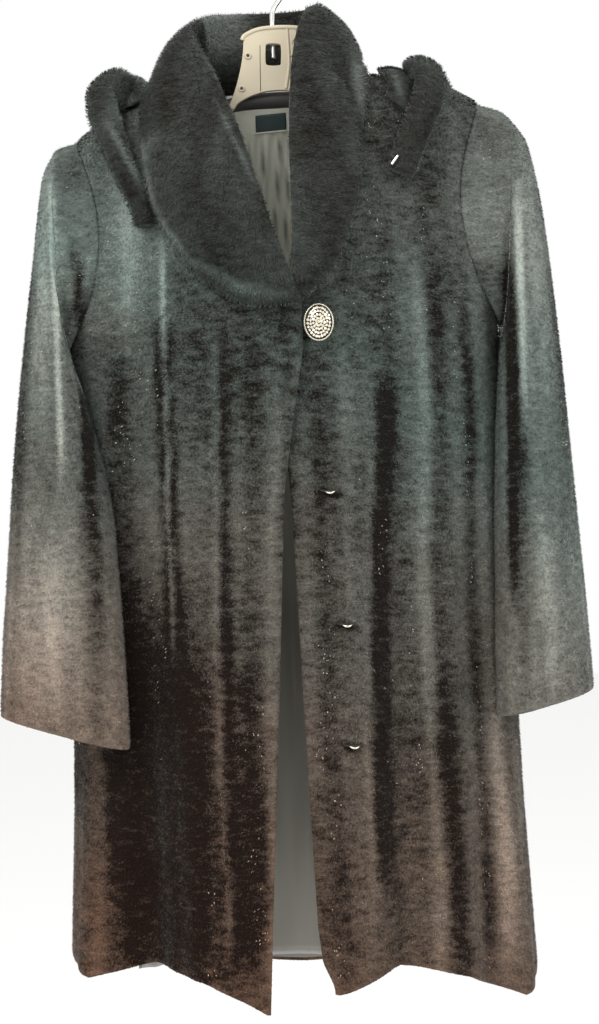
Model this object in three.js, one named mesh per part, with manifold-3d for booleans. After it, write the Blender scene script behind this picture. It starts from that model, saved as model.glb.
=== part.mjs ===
import * as THREE from "three";
import { mergeVertices } from "three/addons/utils/BufferGeometryUtils.js";
import Module from "manifold-3d";

const wasm = await Module();
wasm.setup();

// Millimetres, +Z up, front towards -Y. The origin is the inside top of the hanger's hook.
// "right" and "left" are the wearer's: the right side of the coat lies towards -X.

// Walls and gaps
const WALL = 9;              // sheared pile, skin and lining together
const SEAM = 0.3;            // gap where two pieces are sewn edge to edge
const TUCK = 6;              // how far a sleeve's inner edge lies inside the armhole
const SEAT = 0.4;            // gap under what lies on a panel
const COLLAR_SEAT = 4.8;     // the same under the collar, which rounds the shoulder
const ROUND_SEAT = 1.9;      // the same under a wide piece, whose flat facets dip between its points
const LAP_GAP = 1;           // air between the two fronts where they overlap
const LINING_WALL = 1.5;
const ASKEW = 0.065;         // the coat hangs askew: height gained per mm towards +X
const ASKEW_ENDS = -520;     // below this height the coat hangs true
const ASKEW_FULL = -300;
const DEG = Math.PI / 180;

// Body rings: height, half width, half depth of the front and of the back
const RINGS = [
  { z: -133, wide: 86, front: 62, back: 62 },
  { z: -141, wide: 118, front: 68, back: 68 },
  { z: -151, wide: 158, front: 72, back: 72 },
  { z: -161, wide: 188, front: 75, back: 74 },
  { z: -174, wide: 209, front: 77, back: 77 },
  { z: -187, wide: 218, front: 79, back: 79 },
  { z: -210, wide: 223, front: 81, back: 82 },
  { z: -247, wide: 225, front: 84, back: 86 },
  { z: -290, wide: 225, front: 89, back: 89 },
  { z: -337, wide: 225, front: 93, back: 92 },
  { z: -387, wide: 226, front: 97, back: 96 },
  { z: -487, wide: 230, front: 105, back: 103 },
  { z: -587, wide: 231, front: 112, back: 110 },
  { z: -737, wide: 233, front: 122, back: 120 },
  { z: -887, wide: 237, front: 131, back: 129 },
  { z: -1090, wide: 247, front: 141, back: 139 },
];

// Long folds: angle at the top and at the hem, reach to either side, height out at the hem, start height
const FOLDS = [
  { top: 205, hem: 208, before: 14, after: 12, out: 13, start: -760 },
  { top: 224, hem: 231, before: 12, after: 9, out: -17, start: -285 },
  { top: 237, hem: 245.5, before: 6, after: 13, out: 13, start: -285 },
  { top: 262, hem: 257, before: 8, after: 12, out: -5, start: -560 },
  { top: 285, hem: 283, before: 10, after: 9, out: 9, start: -420 },
  { top: 301, hem: 297, before: 9, after: 9, out: -16, start: -330 },
  { top: 315, hem: 311, before: 9, after: 8, out: 11, start: -420 },
  { top: 326, hem: 322, before: 7, after: 7, out: -9, start: -560 },
  { top: 338, hem: 334, before: 9, after: 14, out: 13, start: -740 },
  { top: 24, hem: 22, before: 14, after: 13, out: 12, start: -560 },
  { top: 44, hem: 43, before: 12, after: 12, out: -12, start: -430 },
  { top: 66, hem: 65, before: 14, after: 14, out: 13, start: -430 },
  { top: 90, hem: 91, before: 15, after: 14, out: -10, start: -430 },
  { top: 114, hem: 116, before: 14, after: 13, out: 13, start: -430 },
  { top: 136, hem: 138, before: 12, after: 12, out: -12, start: -430 },
  { top: 156, hem: 159, before: 13, after: 13, out: 12, start: -560 },
];
const FOLDS_TOP = -285;
const FOLD_FOOT = -1085;     // height at which every fold has its full size
const FOLD_RISE = 0.75;      // how early a fold gains size on its way down

// Hem height round the coat
const HEM = [
  { at: 0, z: -1072 }, { at: 30, z: -1078 }, { at: 60, z: -1086 }, { at: 90, z: -1086 },
  { at: 120, z: -1080 }, { at: 150, z: -1062 }, { at: 180, z: -1042 }, { at: 196, z: -1049 },
  { at: 210, z: -1054 }, { at: 230, z: -1037 }, { at: 247, z: -1050 }, { at: 261, z: -1082 },
  { at: 268, z: -1082 }, { at: 273, z: -1060 }, { at: 278, z: -1066 }, { at: 294, z: -1043 },
  { at: 312, z: -1058 }, { at: 332, z: -1087 }, { at: 346, z: -1082 }, { at: 360, z: -1072 },
];

// Armhole: an oval in the side of the body
const ARMHOLE = { top: -176, foot: -384, reach: 33, steps: 8 };

// Inner edge of each front from the shoulder down: the neckline, then the front edge
const RIGHT_EDGE = [
  { z: -141, x: -80 }, { z: -161, x: -73 }, { z: -190, x: -62 }, { z: -230, x: -45 },
  { z: -290, x: -19 }, { z: -345, x: 10 }, { z: -372, x: 21 }, { z: -422, x: 21.3 },
  { z: -500, x: 8 }, { z: -569, x: -2.4 }, { z: -772, x: -13.9 }, { z: -920, x: -23 },
  { z: -1076, x: -32.6 },
];
const LEFT_EDGE = [
  { z: -141, x: 80 }, { z: -161, x: 74 }, { z: -190, x: 66 }, { z: -230, x: 55 },
  { z: -290, x: 37 }, { z: -345, x: 14 }, { z: -372, x: 0 }, { z: -422, x: -8 },
  { z: -500, x: -5 }, { z: -569, x: 0.6 }, { z: -792, x: 7.1 }, { z: -1000, x: 13.6 },
  { z: -1040, x: 17 }, { z: -1066, x: 27.4 },
];
const LAP = { from: 247, full: 261, ends: 290 };

// Rows and columns of the body grids
const SHOULDER_ROWS = [-141, -149, -157, -166];
const SKIRT_ROWS = [-430, -485, -545, -610, -680, -750, -820, -885, -945, -990];
const HEM_ROWS = 3;
const HEM_ROWS_START = -990;
const FRONT_COLUMNS = 20;
const BACK_COLUMNS = 30;

// Sleeves: outer point, inner point and half depth of each ring from the armhole to the cuff
const RIGHT_SLEEVE = [
  { outX: -229, outY: 0, outZ: -196, inX: -233, inY: -2, inZ: -396, half: 44 },
  { outX: -244, outY: -5, outZ: -219, inX: -233, inY: -8, inZ: -412, half: 45 },
  { outX: -252, outY: -12, outZ: -265, inX: -232, inY: -16, inZ: -432, half: 43 },
  { outX: -260, outY: -24, outZ: -332, inX: -230, inY: -26, inZ: -462, half: 40 },
  { outX: -270, outY: -38, outZ: -412, inX: -224, inY: -40, inZ: -510, half: 37 },
  { outX: -282, outY: -52, outZ: -520, inX: -212, inY: -56, inZ: -580, half: 35 },
  { outX: -291, outY: -58, outZ: -627, inX: -200, inY: -70, inZ: -660, half: 35 },
  { outX: -298, outY: -64, outZ: -710, inX: -189, inY: -83, inZ: -740, half: 37 },
  { outX: -302, outY: -68, outZ: -786, inX: -181, inY: -94, inZ: -818, half: 39 },
];
const LEFT_SLEEVE = [
  { outX: 234, outY: 4, outZ: -171, inX: 234, inY: 0, inZ: -377, half: 44 },
  { outX: 257, outY: 4, outZ: -196, inX: 235, inY: -4, inZ: -392, half: 48 },
  { outX: 268, outY: 2, outZ: -234, inX: 235, inY: -10, inZ: -410, half: 48 },
  { outX: 278, outY: -2, outZ: -301, inX: 234, inY: -16, inZ: -440, half: 46 },
  { outX: 288, outY: -6, outZ: -405, inX: 233, inY: -24, inZ: -485, half: 43 },
  { outX: 296, outY: -10, outZ: -515, inX: 231, inY: -34, inZ: -560, half: 42 },
  { outX: 302, outY: -14, outZ: -607, inX: 228, inY: -43, inZ: -640, half: 44 },
  { outX: 308, outY: -16, outZ: -700, inX: 226, inY: -54, inZ: -725, half: 48 },
  { outX: 312, outY: -18, outZ: -781, inX: 221, inY: -62, inZ: -800, half: 52 },
];
const SLEEVE_ROWS = 14;
const SLEEVE_CLEAR = 1.2;    // least air between a sleeve and the body

// Collar sections from the right front end round the neck to the left front end:
// seam point, roll point, fall edge and how far the outer face swells
const COLLAR = [
  { ax: 3, ay: -112, az: -345, bx: 4, by: -127, bz: -333, cx: 15, cy: -122, cz: -377, swell: 6 },
  { ax: -14, ay: -106, az: -320, bx: -6, by: -125, bz: -300, cx: -12, cy: -122, cz: -381, swell: 9 },
  { ax: -32, ay: -98, az: -284, bx: -20, by: -116, bz: -252, cx: -48, cy: -120, cz: -374, swell: 11 },
  { ax: -50, ay: -88, az: -242, bx: -33, by: -104, bz: -205, cx: -93, cy: -112, cz: -336, swell: 12 },
  { ax: -64, ay: -72, az: -202, bx: -47, by: -84, bz: -165, cx: -126, cy: -98, cz: -280, swell: 12 },
  { ax: -76, ay: -48, az: -168, bx: -64, by: -58, bz: -125, cx: -139, cy: -78, cz: -224, swell: 12 },
  { ax: -84, ay: -20, az: -148, bx: -78, by: -32, bz: -95, cx: -139, cy: -48, cz: -172, swell: 12 },
  { ax: -84, ay: 8, az: -138, bx: -82, by: -2, bz: -72, cx: -126, cy: -8, cz: -128, swell: 12 },
  { ax: -72, ay: 34, az: -133, bx: -70, by: 28, bz: -55, cx: -108, cy: 46, cz: -118, swell: 12 },
  { ax: -42, ay: 52, az: -131, bx: -40, by: 54, bz: -47, cx: -64, cy: 86, cz: -122, swell: 12 },
  { ax: 0, ay: 57, az: -131, bx: 0, by: 63, bz: -45, cx: 0, cy: 100, cz: -124, swell: 12 },
  { ax: 42, ay: 52, az: -130, bx: 34, by: 50, bz: -46, cx: 62, cy: 84, cz: -120, swell: 12 },
  { ax: 72, ay: 34, az: -129, bx: 46, by: 24, bz: -49, cx: 88, cy: 42, cz: -112, swell: 11 },
  { ax: 84, ay: 6, az: -130, bx: 42, by: -6, bz: -54, cx: 92, cy: 0, cz: -112, swell: 10 },
  { ax: 84, ay: -20, az: -140, bx: 30, by: -34, bz: -68, cx: 93, cy: -36, cz: -136, swell: 9 },
  { ax: 76, ay: -48, az: -164, bx: 19, by: -58, bz: -102, cx: 91, cy: -62, cz: -176, swell: 9 },
  { ax: 64, ay: -70, az: -198, bx: 13, by: -80, bz: -152, cx: 88, cy: -82, cz: -218, swell: 9 },
  { ax: 52, ay: -86, az: -238, bx: 10, by: -100, bz: -207, cx: 82, cy: -100, cz: -264, swell: 9 },
  { ax: 38, ay: -98, az: -280, bx: 10, by: -114, bz: -262, cx: 69, cy: -112, cz: -308, swell: 8 },
  { ax: 27, ay: -106, az: -318, bx: 10.5, by: -124, bz: -305, cx: 52, cy: -118, cz: -346, swell: 7 },
  { ax: 20, ay: -111, az: -345, bx: 9, by: -127, bz: -333, cx: 21, cy: -122, cz: -376, swell: 6 },
];
const COLLAR_ROWS = 40;
const COLLAR_AROUND = 14;
const COLLAR_SMALLEST = 13;  // least thickness of the collar at its seam and fall edge

// Fur band along the edge of the hood: angle, height, lift off the coat, half width, half thickness
const TRIM = [
  { at: 233.5, z: -284, lift: 0, half: 12, thick: 10 },
  { at: 232.5, z: -262, lift: 0, half: 13, thick: 11 },
  { at: 227.5, z: -228, lift: 0, half: 13, thick: 12 },
  { at: 224, z: -200, lift: 2, half: 15, thick: 13 },
  { at: 219, z: -179, lift: 6, half: 17, thick: 14 },
  { at: 208, z: -162, lift: 10, half: 17, thick: 15 },
  { at: 190, z: -151, lift: 13, half: 17, thick: 15 },
  { at: 168, z: -153, lift: 9, half: 18, thick: 14 },
  { at: 148, z: -168, lift: 6, half: 19, thick: 14 },
  { at: 138, z: -196, lift: 3, half: 23, thick: 15 },
  { at: 131, z: -238, lift: 1, half: 28, thick: 15 },
  { at: 114, z: -300, lift: 0, half: 29, thick: 15 },
  { at: 90, z: -330, lift: 0, half: 29, thick: 15 },
  { at: 66, z: -300, lift: 0, half: 29, thick: 15 },
  { at: 49, z: -238, lift: 1, half: 28, thick: 15 },
  { at: 43, z: -200, lift: 3, half: 24, thick: 14 },
  { at: 33, z: -167, lift: 3, half: 20, thick: 13 },
  { at: 14, z: -151, lift: 1, half: 17, thick: 12 },
  { at: -4, z: -149, lift: 0, half: 18, thick: 11 },
  { at: -22, z: -152, lift: 0, half: 18, thick: 11 },
  { at: -37, z: -164, lift: 0, half: 18, thick: 11 },
  { at: -46, z: -186, lift: 0, half: 18, thick: 11 },
  { at: -52, z: -216, lift: 0, half: 17, thick: 11 },
  { at: -57, z: -256, lift: 0, half: 15, thick: 10 },
];
const TRIM_ROWS = 34;
const TRIM_AROUND = 12;

// Hood lying on the back: inner line beside the collar, outer line beside the fur band
const HOOD = [
  { inAt: 205, inZ: -148, outAt: 204, outZ: -151, thick: 12 },
  { inAt: 180, inZ: -143, outAt: 180, outZ: -146, thick: 14 },
  { inAt: 155, inZ: -145, outAt: 158, outZ: -150, thick: 16 },
  { inAt: 130, inZ: -148, outAt: 134, outZ: -171, thick: 20 },
  { inAt: 110, inZ: -149, outAt: 119, outZ: -245, thick: 22 },
  { inAt: 90, inZ: -149, outAt: 90, outZ: -297, thick: 22 },
  { inAt: 70, inZ: -149, outAt: 61, outZ: -245, thick: 22 },
  { inAt: 50, inZ: -148, outAt: 47, outZ: -171, thick: 20 },
  { inAt: 25, inZ: -142, outAt: 22, outZ: -147, thick: 16 },
  { inAt: 0, inZ: -139, outAt: 0, outZ: -142.5, thick: 16 },
  { inAt: -25, inZ: -141, outAt: -25, outZ: -145, thick: 15 },
  { inAt: -46, inZ: -150, outAt: -46, outZ: -157, thick: 14 },
  { inAt: -58, inZ: -174, outAt: -55, outZ: -188, thick: 11 },
];
const HOOD_ROWS = 26;
const HOOD_COLUMNS = 7;

// Lining and label
const LINING = { from: 37, to: 143, columns: 14, slack: 15, loose: -400, foot: -1058, gap: 1.6 };
const LINING_ROWS = [
  -143, -151, -161, -172, -188, -225, -290, -385, -485, -585, -685, -785, -885, -975, -1058,
];
const LABEL_ROWS = 2;
const LABEL_COLUMNS = 4;
const LABEL = { x: -7, z: -163, width: 34, height: 18, thick: 0.8 };

// Hanger
const ROD = 2.6;             // radius of the hook's wire
const HOOK_BEND = 20;        // inside radius of the hook
const HOOK_SIDES = 8;
const SHANK_FOOT = -112;
const ARM = { deep: 16, y: -4, under: 1.8, drop: 26, tipDrop: 15, reach: 178, steps: 16 };
const ARM_RIDGE = { inner: 84, innerSag: 2, foot: -182, step: 2 };
const PLATE = { deep: 6, lip: 3, lipX: -1.5, lipZ: -84.5, lipWide: 78, lipRise: 7, lipHigh: 3 };
const SLOT = { x: -1.5, z: -114.7, wide: 8, high: 11.5, sides: 16 };

// Button, loop, eyes and hood hook
const BUTTON = { x: 35.8, z: -398.5, wide: 15.2, high: 19, rim: 4, dome: 7, stand: 3, border: 2.2 };
const BUTTON_SHANK = 3.5;
const DOME_STEPS = 6;
const CORD = 1.3;
const LOOP = { start: 21.3, half: 7, mid: 6.4, near: 4 };
const EYES = [
  { x: 41.3, z: -568.2 },
  { x: 53.6, z: -701.1 },
  { x: 56.3, z: -820.9 },
];
const EYE = { half: 5.2, rise: 2.6, wire: 0.9, sag: 2 };
const HOOD_HOOK = { places: [0.986, 0.992, 0.998], turns: [0.85, 0.72, 0.6], wire: 1.2 };

// Colours
const FUR_COLOUR = 0x3a3c38;
const COLLAR_COLOUR = 0x15181a;
const LINING_COLOUR = 0x5d615f;
const LABEL_COLOUR = 0x17191b;
const HANGER_COLOUR = 0x8f8a80;
const METAL_COLOUR = 0xb9b6ad;
const STONE_COLOUR = 0xd9cfc0;
const CORD_COLOUR = 0x1b1b1b;

function clamp01(value) {
  return Math.min(1, Math.max(0, value));
}

function smooth(from, to, value) {
  const part = clamp01((value - from) / (to - from));
  return part * part * (3 - 2 * part);
}

// Value of one column of a table at a place along its key column, straight between rows
function tableAt(rows, key, place, column) {
  const rising = rows[rows.length - 1][key] > rows[0][key];
  let next = 1;
  while (next < rows.length - 1 && (rising ? place > rows[next][key] : place < rows[next][key])) {
    next += 1;
  }
  const above = rows[next - 1];
  const below = rows[next];
  const part = clamp01((place - above[key]) / (below[key] - above[key]));
  return above[column] + (below[column] - above[column]) * part;
}

// Row of a table at a place from 0 to 1 along it, rounded through the rows
function rowAt(rows, place) {
  const last = rows.length - 1;
  const spot = clamp01(place) * last;
  const index = Math.min(last - 1, Math.floor(spot));
  const part = spot - index;
  const before = rows[Math.max(0, index - 1)];
  const after = rows[Math.min(last, index + 2)];
  const row = {};
  for (const name of Object.keys(rows[0])) {
    const a = rows[index][name];
    const b = rows[index + 1][name];
    const slopeA = (b - before[name]) / 2;
    const slopeB = (after[name] - a) / 2;
    const square = part * part;
    const cube = square * part;
    row[name] = a * (2 * cube - 3 * square + 1) + slopeA * (cube - 2 * square + part)
      + b * (3 * square - 2 * cube) + slopeB * (cube - square);
  }
  return row;
}

// Height gained at a place because the coat hangs askew
function askew(x, z) {
  return ASKEW * x * smooth(ASKEW_ENDS, ASKEW_FULL, z);
}

// One-sided cosine hump of height 1
function hump(distance, before, after) {
  const reach = distance < 0 ? before : after;
  const part = Math.abs(distance) / reach;
  return part < 1 ? 0.5 + 0.5 * Math.cos(Math.PI * part) : 0;
}

// Angle wrapped to 0 to 360 degrees
function wrapped(angle) {
  return ((angle % 360) + 360) % 360;
}

// How far the long folds move the cloth out at an angle and a height
function foldOut(angle, z) {
  const round = wrapped(angle);
  let out = 0;
  for (const fold of FOLDS) {
    const grown = clamp01((fold.start - z) / (fold.start - FOLD_FOOT));
    if (grown > 0) {
      const down = clamp01((FOLDS_TOP - z) / (FOLDS_TOP - FOLD_FOOT));
      const middle = fold.top + (fold.hem - fold.top) * down;
      out += fold.out * Math.pow(grown, FOLD_RISE) * hump(round - middle, fold.before, fold.after);
    }
  }
  return out;
}
// How far the upper front is carried over the lower one
function lapOut(angle) {
  const round = wrapped(angle);
  return round < LAP.ends ? (WALL + LAP_GAP) * smooth(LAP.from, LAP.full, round) : 0;
}

// Point on the body's outer face at an angle and a height; the layer is "over" for the upper front
// and "plain" for the form without its folds
function facePoint(angle, z, layer) {
  const turn = angle * DEG;
  const wide = tableAt(RINGS, "z", z, "wide");
  const deep = tableAt(RINGS, "z", z, Math.sin(turn) < 0 ? "front" : "back");
  const folds = layer === "plain" ? 0 : foldOut(angle, z);
  const out = folds + (layer === "over" ? lapOut(angle) : 0);
  const normal = new THREE.Vector2(Math.cos(turn) / wide, Math.sin(turn) / deep).normalize();
  const x = wide * Math.cos(turn) + normal.x * out;
  const y = deep * Math.sin(turn) + normal.y * out;
  return new THREE.Vector3(x, y, z + askew(x, z));
}

// Direction straight out of the body's outer face
function faceNormal(angle, z, layer) {
  const turnStep = 1.5;
  const rise = 3;
  const low = Math.min(z, RINGS[0].z - rise);
  const around = facePoint(angle + turnStep, z, layer).sub(facePoint(angle - turnStep, z, layer));
  const up = facePoint(angle, low + rise, layer).sub(facePoint(angle, low - rise, layer));
  return around.cross(up).normalize();
}

// Point a distance out of the body's outer face
function pointOut(angle, z, out, layer) {
  return facePoint(angle, z, layer).addScaledVector(faceNormal(angle, z, layer), out);
}

// Angle and height of the body's face behind a point
function placeOn(point) {
  const z = point.z - askew(point.x, point.z);
  const wide = tableAt(RINGS, "z", z, "wide");
  const deep = tableAt(RINGS, "z", z, point.y < 0 ? "front" : "back");
  return { angle: Math.atan2(point.y / deep, point.x / wide) / DEG, z };
}

// The point, moved out until it clears the body's outer face
function clearOfBody(point, gap, layer) {
  const moved = point.clone();
  for (let turn = 0; turn < 4; turn += 1) {
    const { angle, z } = placeOn(moved);
    if (z > RINGS[0].z) {
      return moved;
    }
    const normal = faceNormal(angle, z, layer);
    const away = moved.clone().sub(facePoint(angle, z, layer)).dot(normal);
    if (away >= gap) {
      return moved;
    }
    moved.addScaledVector(normal, gap - away);
  }
  return moved;
}

// Body of points and triangles, turned so that its faces look out
function closedBody(points, index) {
  let volume = 0;
  for (let i = 0; i < index.length; i += 3) {
    const [a, b, c] = [points[index[i]], points[index[i + 1]], points[index[i + 2]]];
    volume += a.dot(b.clone().cross(c));
  }
  const geometry = new THREE.BufferGeometry();
  const flat = points.flatMap((point) => [point.x, point.y, point.z]);
  geometry.setAttribute("position", new THREE.Float32BufferAttribute(flat, 3));
  const order = volume > 0 ? index : index.map((_, i) => index[i - (i % 3) + 2 - (i % 3)]);
  geometry.setIndex(order);
  return geometry;
}

// Sheet between an outer and an inner grid; "round" joins the last column to the first
function sheetBody(outer, inner, round) {
  const rows = outer.length;
  const columns = outer[0].length;
  const spans = round ? columns : columns - 1;
  const index = [];
  const at = (side, row, column) => (side * rows + row) * columns + (column % columns);
  const quad = (a, b, c, d) => index.push(a, b, c, a, c, d);
  for (let row = 0; row < rows - 1; row += 1) {
    for (let column = 0; column < spans; column += 1) {
      quad(at(0, row, column), at(0, row + 1, column), at(0, row + 1, column + 1), at(0, row, column + 1));
      quad(at(1, row, column), at(1, row, column + 1), at(1, row + 1, column + 1), at(1, row + 1, column));
    }
    if (!round) {
      quad(at(0, row, 0), at(1, row, 0), at(1, row + 1, 0), at(0, row + 1, 0));
      quad(at(0, row, spans), at(0, row + 1, spans), at(1, row + 1, spans), at(1, row, spans));
    }
  }
  for (let column = 0; column < spans; column += 1) {
    const end = rows - 1;
    quad(at(0, 0, column), at(0, 0, column + 1), at(1, 0, column + 1), at(1, 0, column));
    quad(at(0, end, column), at(1, end, column), at(1, end, column + 1), at(0, end, column + 1));
  }
  return closedBody([...outer.flat(), ...inner.flat()], index);
}

// Solid through closed rings, capped at both ends
function ringBody(rings) {
  const around = rings[0].length;
  const points = rings.flat();
  const index = [];
  for (let row = 0; row < rings.length - 1; row += 1) {
    for (let column = 0; column < around; column += 1) {
      const a = row * around + column;
      const b = row * around + ((column + 1) % around);
      index.push(a, a + around, b + around, a, b + around, b);
    }
  }
  for (const end of [0, rings.length - 1]) {
    const middle = points.length;
    const centre = new THREE.Vector3();
    rings[end].forEach((point) => centre.addScaledVector(point, 1 / around));
    points.push(centre);
    for (let column = 0; column < around; column += 1) {
      const a = end * around + column;
      const b = end * around + ((column + 1) % around);
      index.push(...(end === 0 ? [middle, a, b] : [middle, b, a]));
    }
  }
  return closedBody(points, index);
}

// Angle at which a line x of the front lies on a ring
function angleOfX(x, z) {
  const wide = tableAt(RINGS, "z", z, "wide");
  return 360 - Math.acos(THREE.MathUtils.clamp(x / wide, -1, 1)) / DEG;
}

// Heights of the armhole's points from its top to its foot, and how far each lies from the side line
function armholeSteps() {
  const middle = (ARMHOLE.top + ARMHOLE.foot) / 2;
  const half = (ARMHOLE.top - ARMHOLE.foot) / 2;
  const steps = [];
  for (let i = 0; i <= ARMHOLE.steps; i += 1) {
    const turn = (Math.PI * i) / ARMHOLE.steps;
    steps.push({ z: middle + half * Math.cos(turn), reach: ARMHOLE.reach * Math.sin(turn) });
  }
  return steps;
}

// Rows of the body from the shoulder to the hem: height (or part of the hem strip) and armhole reach
function bodyRows(firstRows) {
  const rows = firstRows.map((z) => ({ z, reach: 0, part: 0 }));
  armholeSteps().forEach(({ z, reach }) => rows.push({ z, reach, part: 0 }));
  SKIRT_ROWS.forEach((z) => rows.push({ z, reach: 0, part: 0 }));
  for (let i = 1; i <= HEM_ROWS; i += 1) {
    rows.push({ z: HEM_ROWS_START, reach: 0, part: i / HEM_ROWS });
  }
  return rows;
}

// Height of a row at an angle, the lowest rows following the hem
function rowHeight(row, angle) {
  const hem = tableAt(HEM, "at", wrapped(angle), "z");
  return row.z + (hem - row.z) * row.part;
}

// Outer and inner grids of a panel whose columns run between two angles
function panelGrids(rows, columns, startOf, endOf, layer) {
  const outer = [];
  const inner = [];
  for (const row of rows) {
    const start = startOf(row);
    const end = endOf(row);
    const outerRow = [];
    const innerRow = [];
    for (let i = 0; i <= columns; i += 1) {
      const angle = start + ((end - start) * i) / columns;
      const z = rowHeight(row, angle);
      outerRow.push(facePoint(angle, z, layer));
      innerRow.push(pointOut(angle, z, -WALL, layer));
    }
    outer.push(outerRow);
    inner.push(innerRow);
  }
  return { outer, inner };
}

// Small angle that leaves half a seam's gap at the side line
function seamAngle(z) {
  return SEAM / 2 / tableAt(RINGS, "z", z, "front") / DEG;
}

// Angle of a front's inner edge at a row
function edgeAngle(table, row) {
  const z = row.part > 0 ? row.z + (tableAt(HEM, "at", 270, "z") - row.z) * row.part : row.z;
  return angleOfX(tableAt(table, "z", z, "x"), z);
}

function rightFrontGrids() {
  const rows = bodyRows(SHOULDER_ROWS);
  const start = (row) => 180 + seamAngle(row.z) + row.reach;
  return panelGrids(rows, FRONT_COLUMNS, start, (row) => edgeAngle(RIGHT_EDGE, row), "over");
}

function leftFrontGrids() {
  const rows = bodyRows(SHOULDER_ROWS);
  const end = (row) => 360 - seamAngle(row.z) - row.reach;
  return panelGrids(rows, FRONT_COLUMNS, (row) => edgeAngle(LEFT_EDGE, row), end, "under");
}

function backGrids() {
  const rows = bodyRows([RINGS[0].z, ...SHOULDER_ROWS]);
  const start = (row) => seamAngle(row.z) + row.reach;
  const end = (row) => 180 - seamAngle(row.z) - row.reach;
  return panelGrids(rows, BACK_COLUMNS, start, end, "under");
}

// Armhole loop from the top down the front and up the back, drawn in from the panels' edges
function armholeLoop(side, out, within) {
  const middle = side < 0 ? 180 : 0;
  const forward = side < 0 ? 1 : -1;
  const steps = armholeSteps();
  const loop = [];
  const centre = pointOut(middle, (ARMHOLE.top + ARMHOLE.foot) / 2, out, "under");
  const place = (step, way) => {
    const point = pointOut(middle + forward * way * step.reach, step.z, out, "under");
    const inward = centre.clone().sub(point).setX(0).normalize();
    return point.addScaledVector(inward, within);
  };
  steps.forEach((step) => loop.push(place(step, 1)));
  for (let i = steps.length - 2; i > 0; i -= 1) {
    loop.push(place(steps[i], -1));
  }
  return loop;
}

// Inner rings of a tube: each point moved by the wall towards the nearest place on the axis
function innerRings(outer, centres) {
  const spans = centres.slice(1).map((centre, i) => new THREE.Line3(centres[i], centre));
  return outer.map((ring) => ring.map((point) => {
    let best = null;
    for (const span of spans) {
      const spot = span.closestPointToPoint(point, true, new THREE.Vector3());
      best = best === null || spot.distanceTo(point) < best.distanceTo(point) ? spot : best;
    }
    return point.clone().addScaledVector(best.sub(point).normalize(), WALL);
  }));
}

// Outer and inner rings of a sleeve from the armhole to the cuff
function sleeveGrids(table, side) {
  const outer = [armholeLoop(side, 0, SEAM * 1.5)];
  const around = outer[0].length;
  const centres = [];
  for (let row = 0; row <= SLEEVE_ROWS; row += 1) {
    const ring = rowAt(table, row / SLEEVE_ROWS);
    const out = new THREE.Vector3(ring.outX, ring.outY, ring.outZ);
    const into = new THREE.Vector3(ring.inX, ring.inY, ring.inZ);
    const centre = out.clone().add(into).multiplyScalar(0.5);
    const half = out.clone().sub(into).multiplyScalar(0.5);
    const outerRing = [];
    centres.push(centre);
    for (let i = 0; i < around; i += 1) {
      const turn = (2 * Math.PI * i) / around;
      const point = centre.clone().addScaledVector(half, Math.cos(turn));
      point.y -= ring.half * Math.sin(turn);
      outerRing.push(clearOfBody(point, SLEEVE_CLEAR, "under"));
    }
    outer.push(outerRing);
  }
  const inner = innerRings(outer, centres);
  inner[0] = armholeLoop(side, -WALL, TUCK);
  return { outer, inner };
}

// Closed collar section through its seam, roll, outer face, fall edge and underside
function collarSection(row, grow) {
  const seam = new THREE.Vector3(row.ax, row.ay, row.az);
  const roll = new THREE.Vector3(row.bx, row.by, row.bz);
  const fall = new THREE.Vector3(row.cx, row.cy, row.cz);
  const under = clearOfBody(seam.clone().add(fall).multiplyScalar(0.5), COLLAR_SEAT, "over");
  const middle = roll.clone().add(fall).multiplyScalar(0.5);
  const fallLine = roll.clone().sub(fall).normalize();
  const outward = middle.clone().sub(seam);
  outward.addScaledVector(fallLine, -outward.dot(fallLine)).normalize();
  const face = middle.addScaledVector(outward, row.swell);
  const edge = fall.clone().addScaledVector(outward, -COLLAR_SMALLEST / 2);
  const curve = new THREE.CatmullRomCurve3([seam, roll, face, fall, edge, under], true, "centripetal");
  const points = curve.getSpacedPoints(COLLAR_AROUND).slice(0, COLLAR_AROUND);
  const centre = new THREE.Vector3();
  points.forEach((point) => centre.addScaledVector(point, 1 / COLLAR_AROUND));
  return points.map((point) => {
    const clear = clearOfBody(point, COLLAR_SEAT, "over");
    const outFrom = clear.clone().sub(centre).normalize();
    return clear.addScaledVector(outFrom, grow);
  });
}

function collarRings(grow) {
  const rings = [];
  for (let i = 0; i <= COLLAR_ROWS; i += 1) {
    rings.push(collarSection(rowAt(COLLAR, i / COLLAR_ROWS), grow));
  }
  return rings;
}

// Point on the band's face at a place along it and a turn round it, moved out
function bandPoint(place, turn, out) {
  const step = 0.5 / TRIM_ROWS;
  const row = rowAt(TRIM, place);
  const before = rowAt(TRIM, Math.max(0, place - step));
  const after = rowAt(TRIM, Math.min(1, place + step));
  const normal = faceNormal(row.at, row.z, "under");
  const point = pointOut(row.at, row.z, row.thick + row.lift + ROUND_SEAT, "under");
  const along = pointOut(after.at, after.z, 0, "under").sub(pointOut(before.at, before.z, 0, "under"));
  const across = along.cross(normal).normalize();
  point.addScaledVector(across, (row.half + out) * Math.cos(turn));
  point.addScaledVector(normal, (row.thick + out) * Math.sin(turn));
  return clearOfBody(point, ROUND_SEAT, "under");
}

function trimRings(grow) {
  const rings = [];
  for (let i = 0; i <= TRIM_ROWS; i += 1) {
    const ring = [];
    for (let j = 0; j < TRIM_AROUND; j += 1) {
      ring.push(bandPoint(i / TRIM_ROWS, (2 * Math.PI * j) / TRIM_AROUND, grow));
    }
    rings.push(ring);
  }
  return rings;
}

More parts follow.
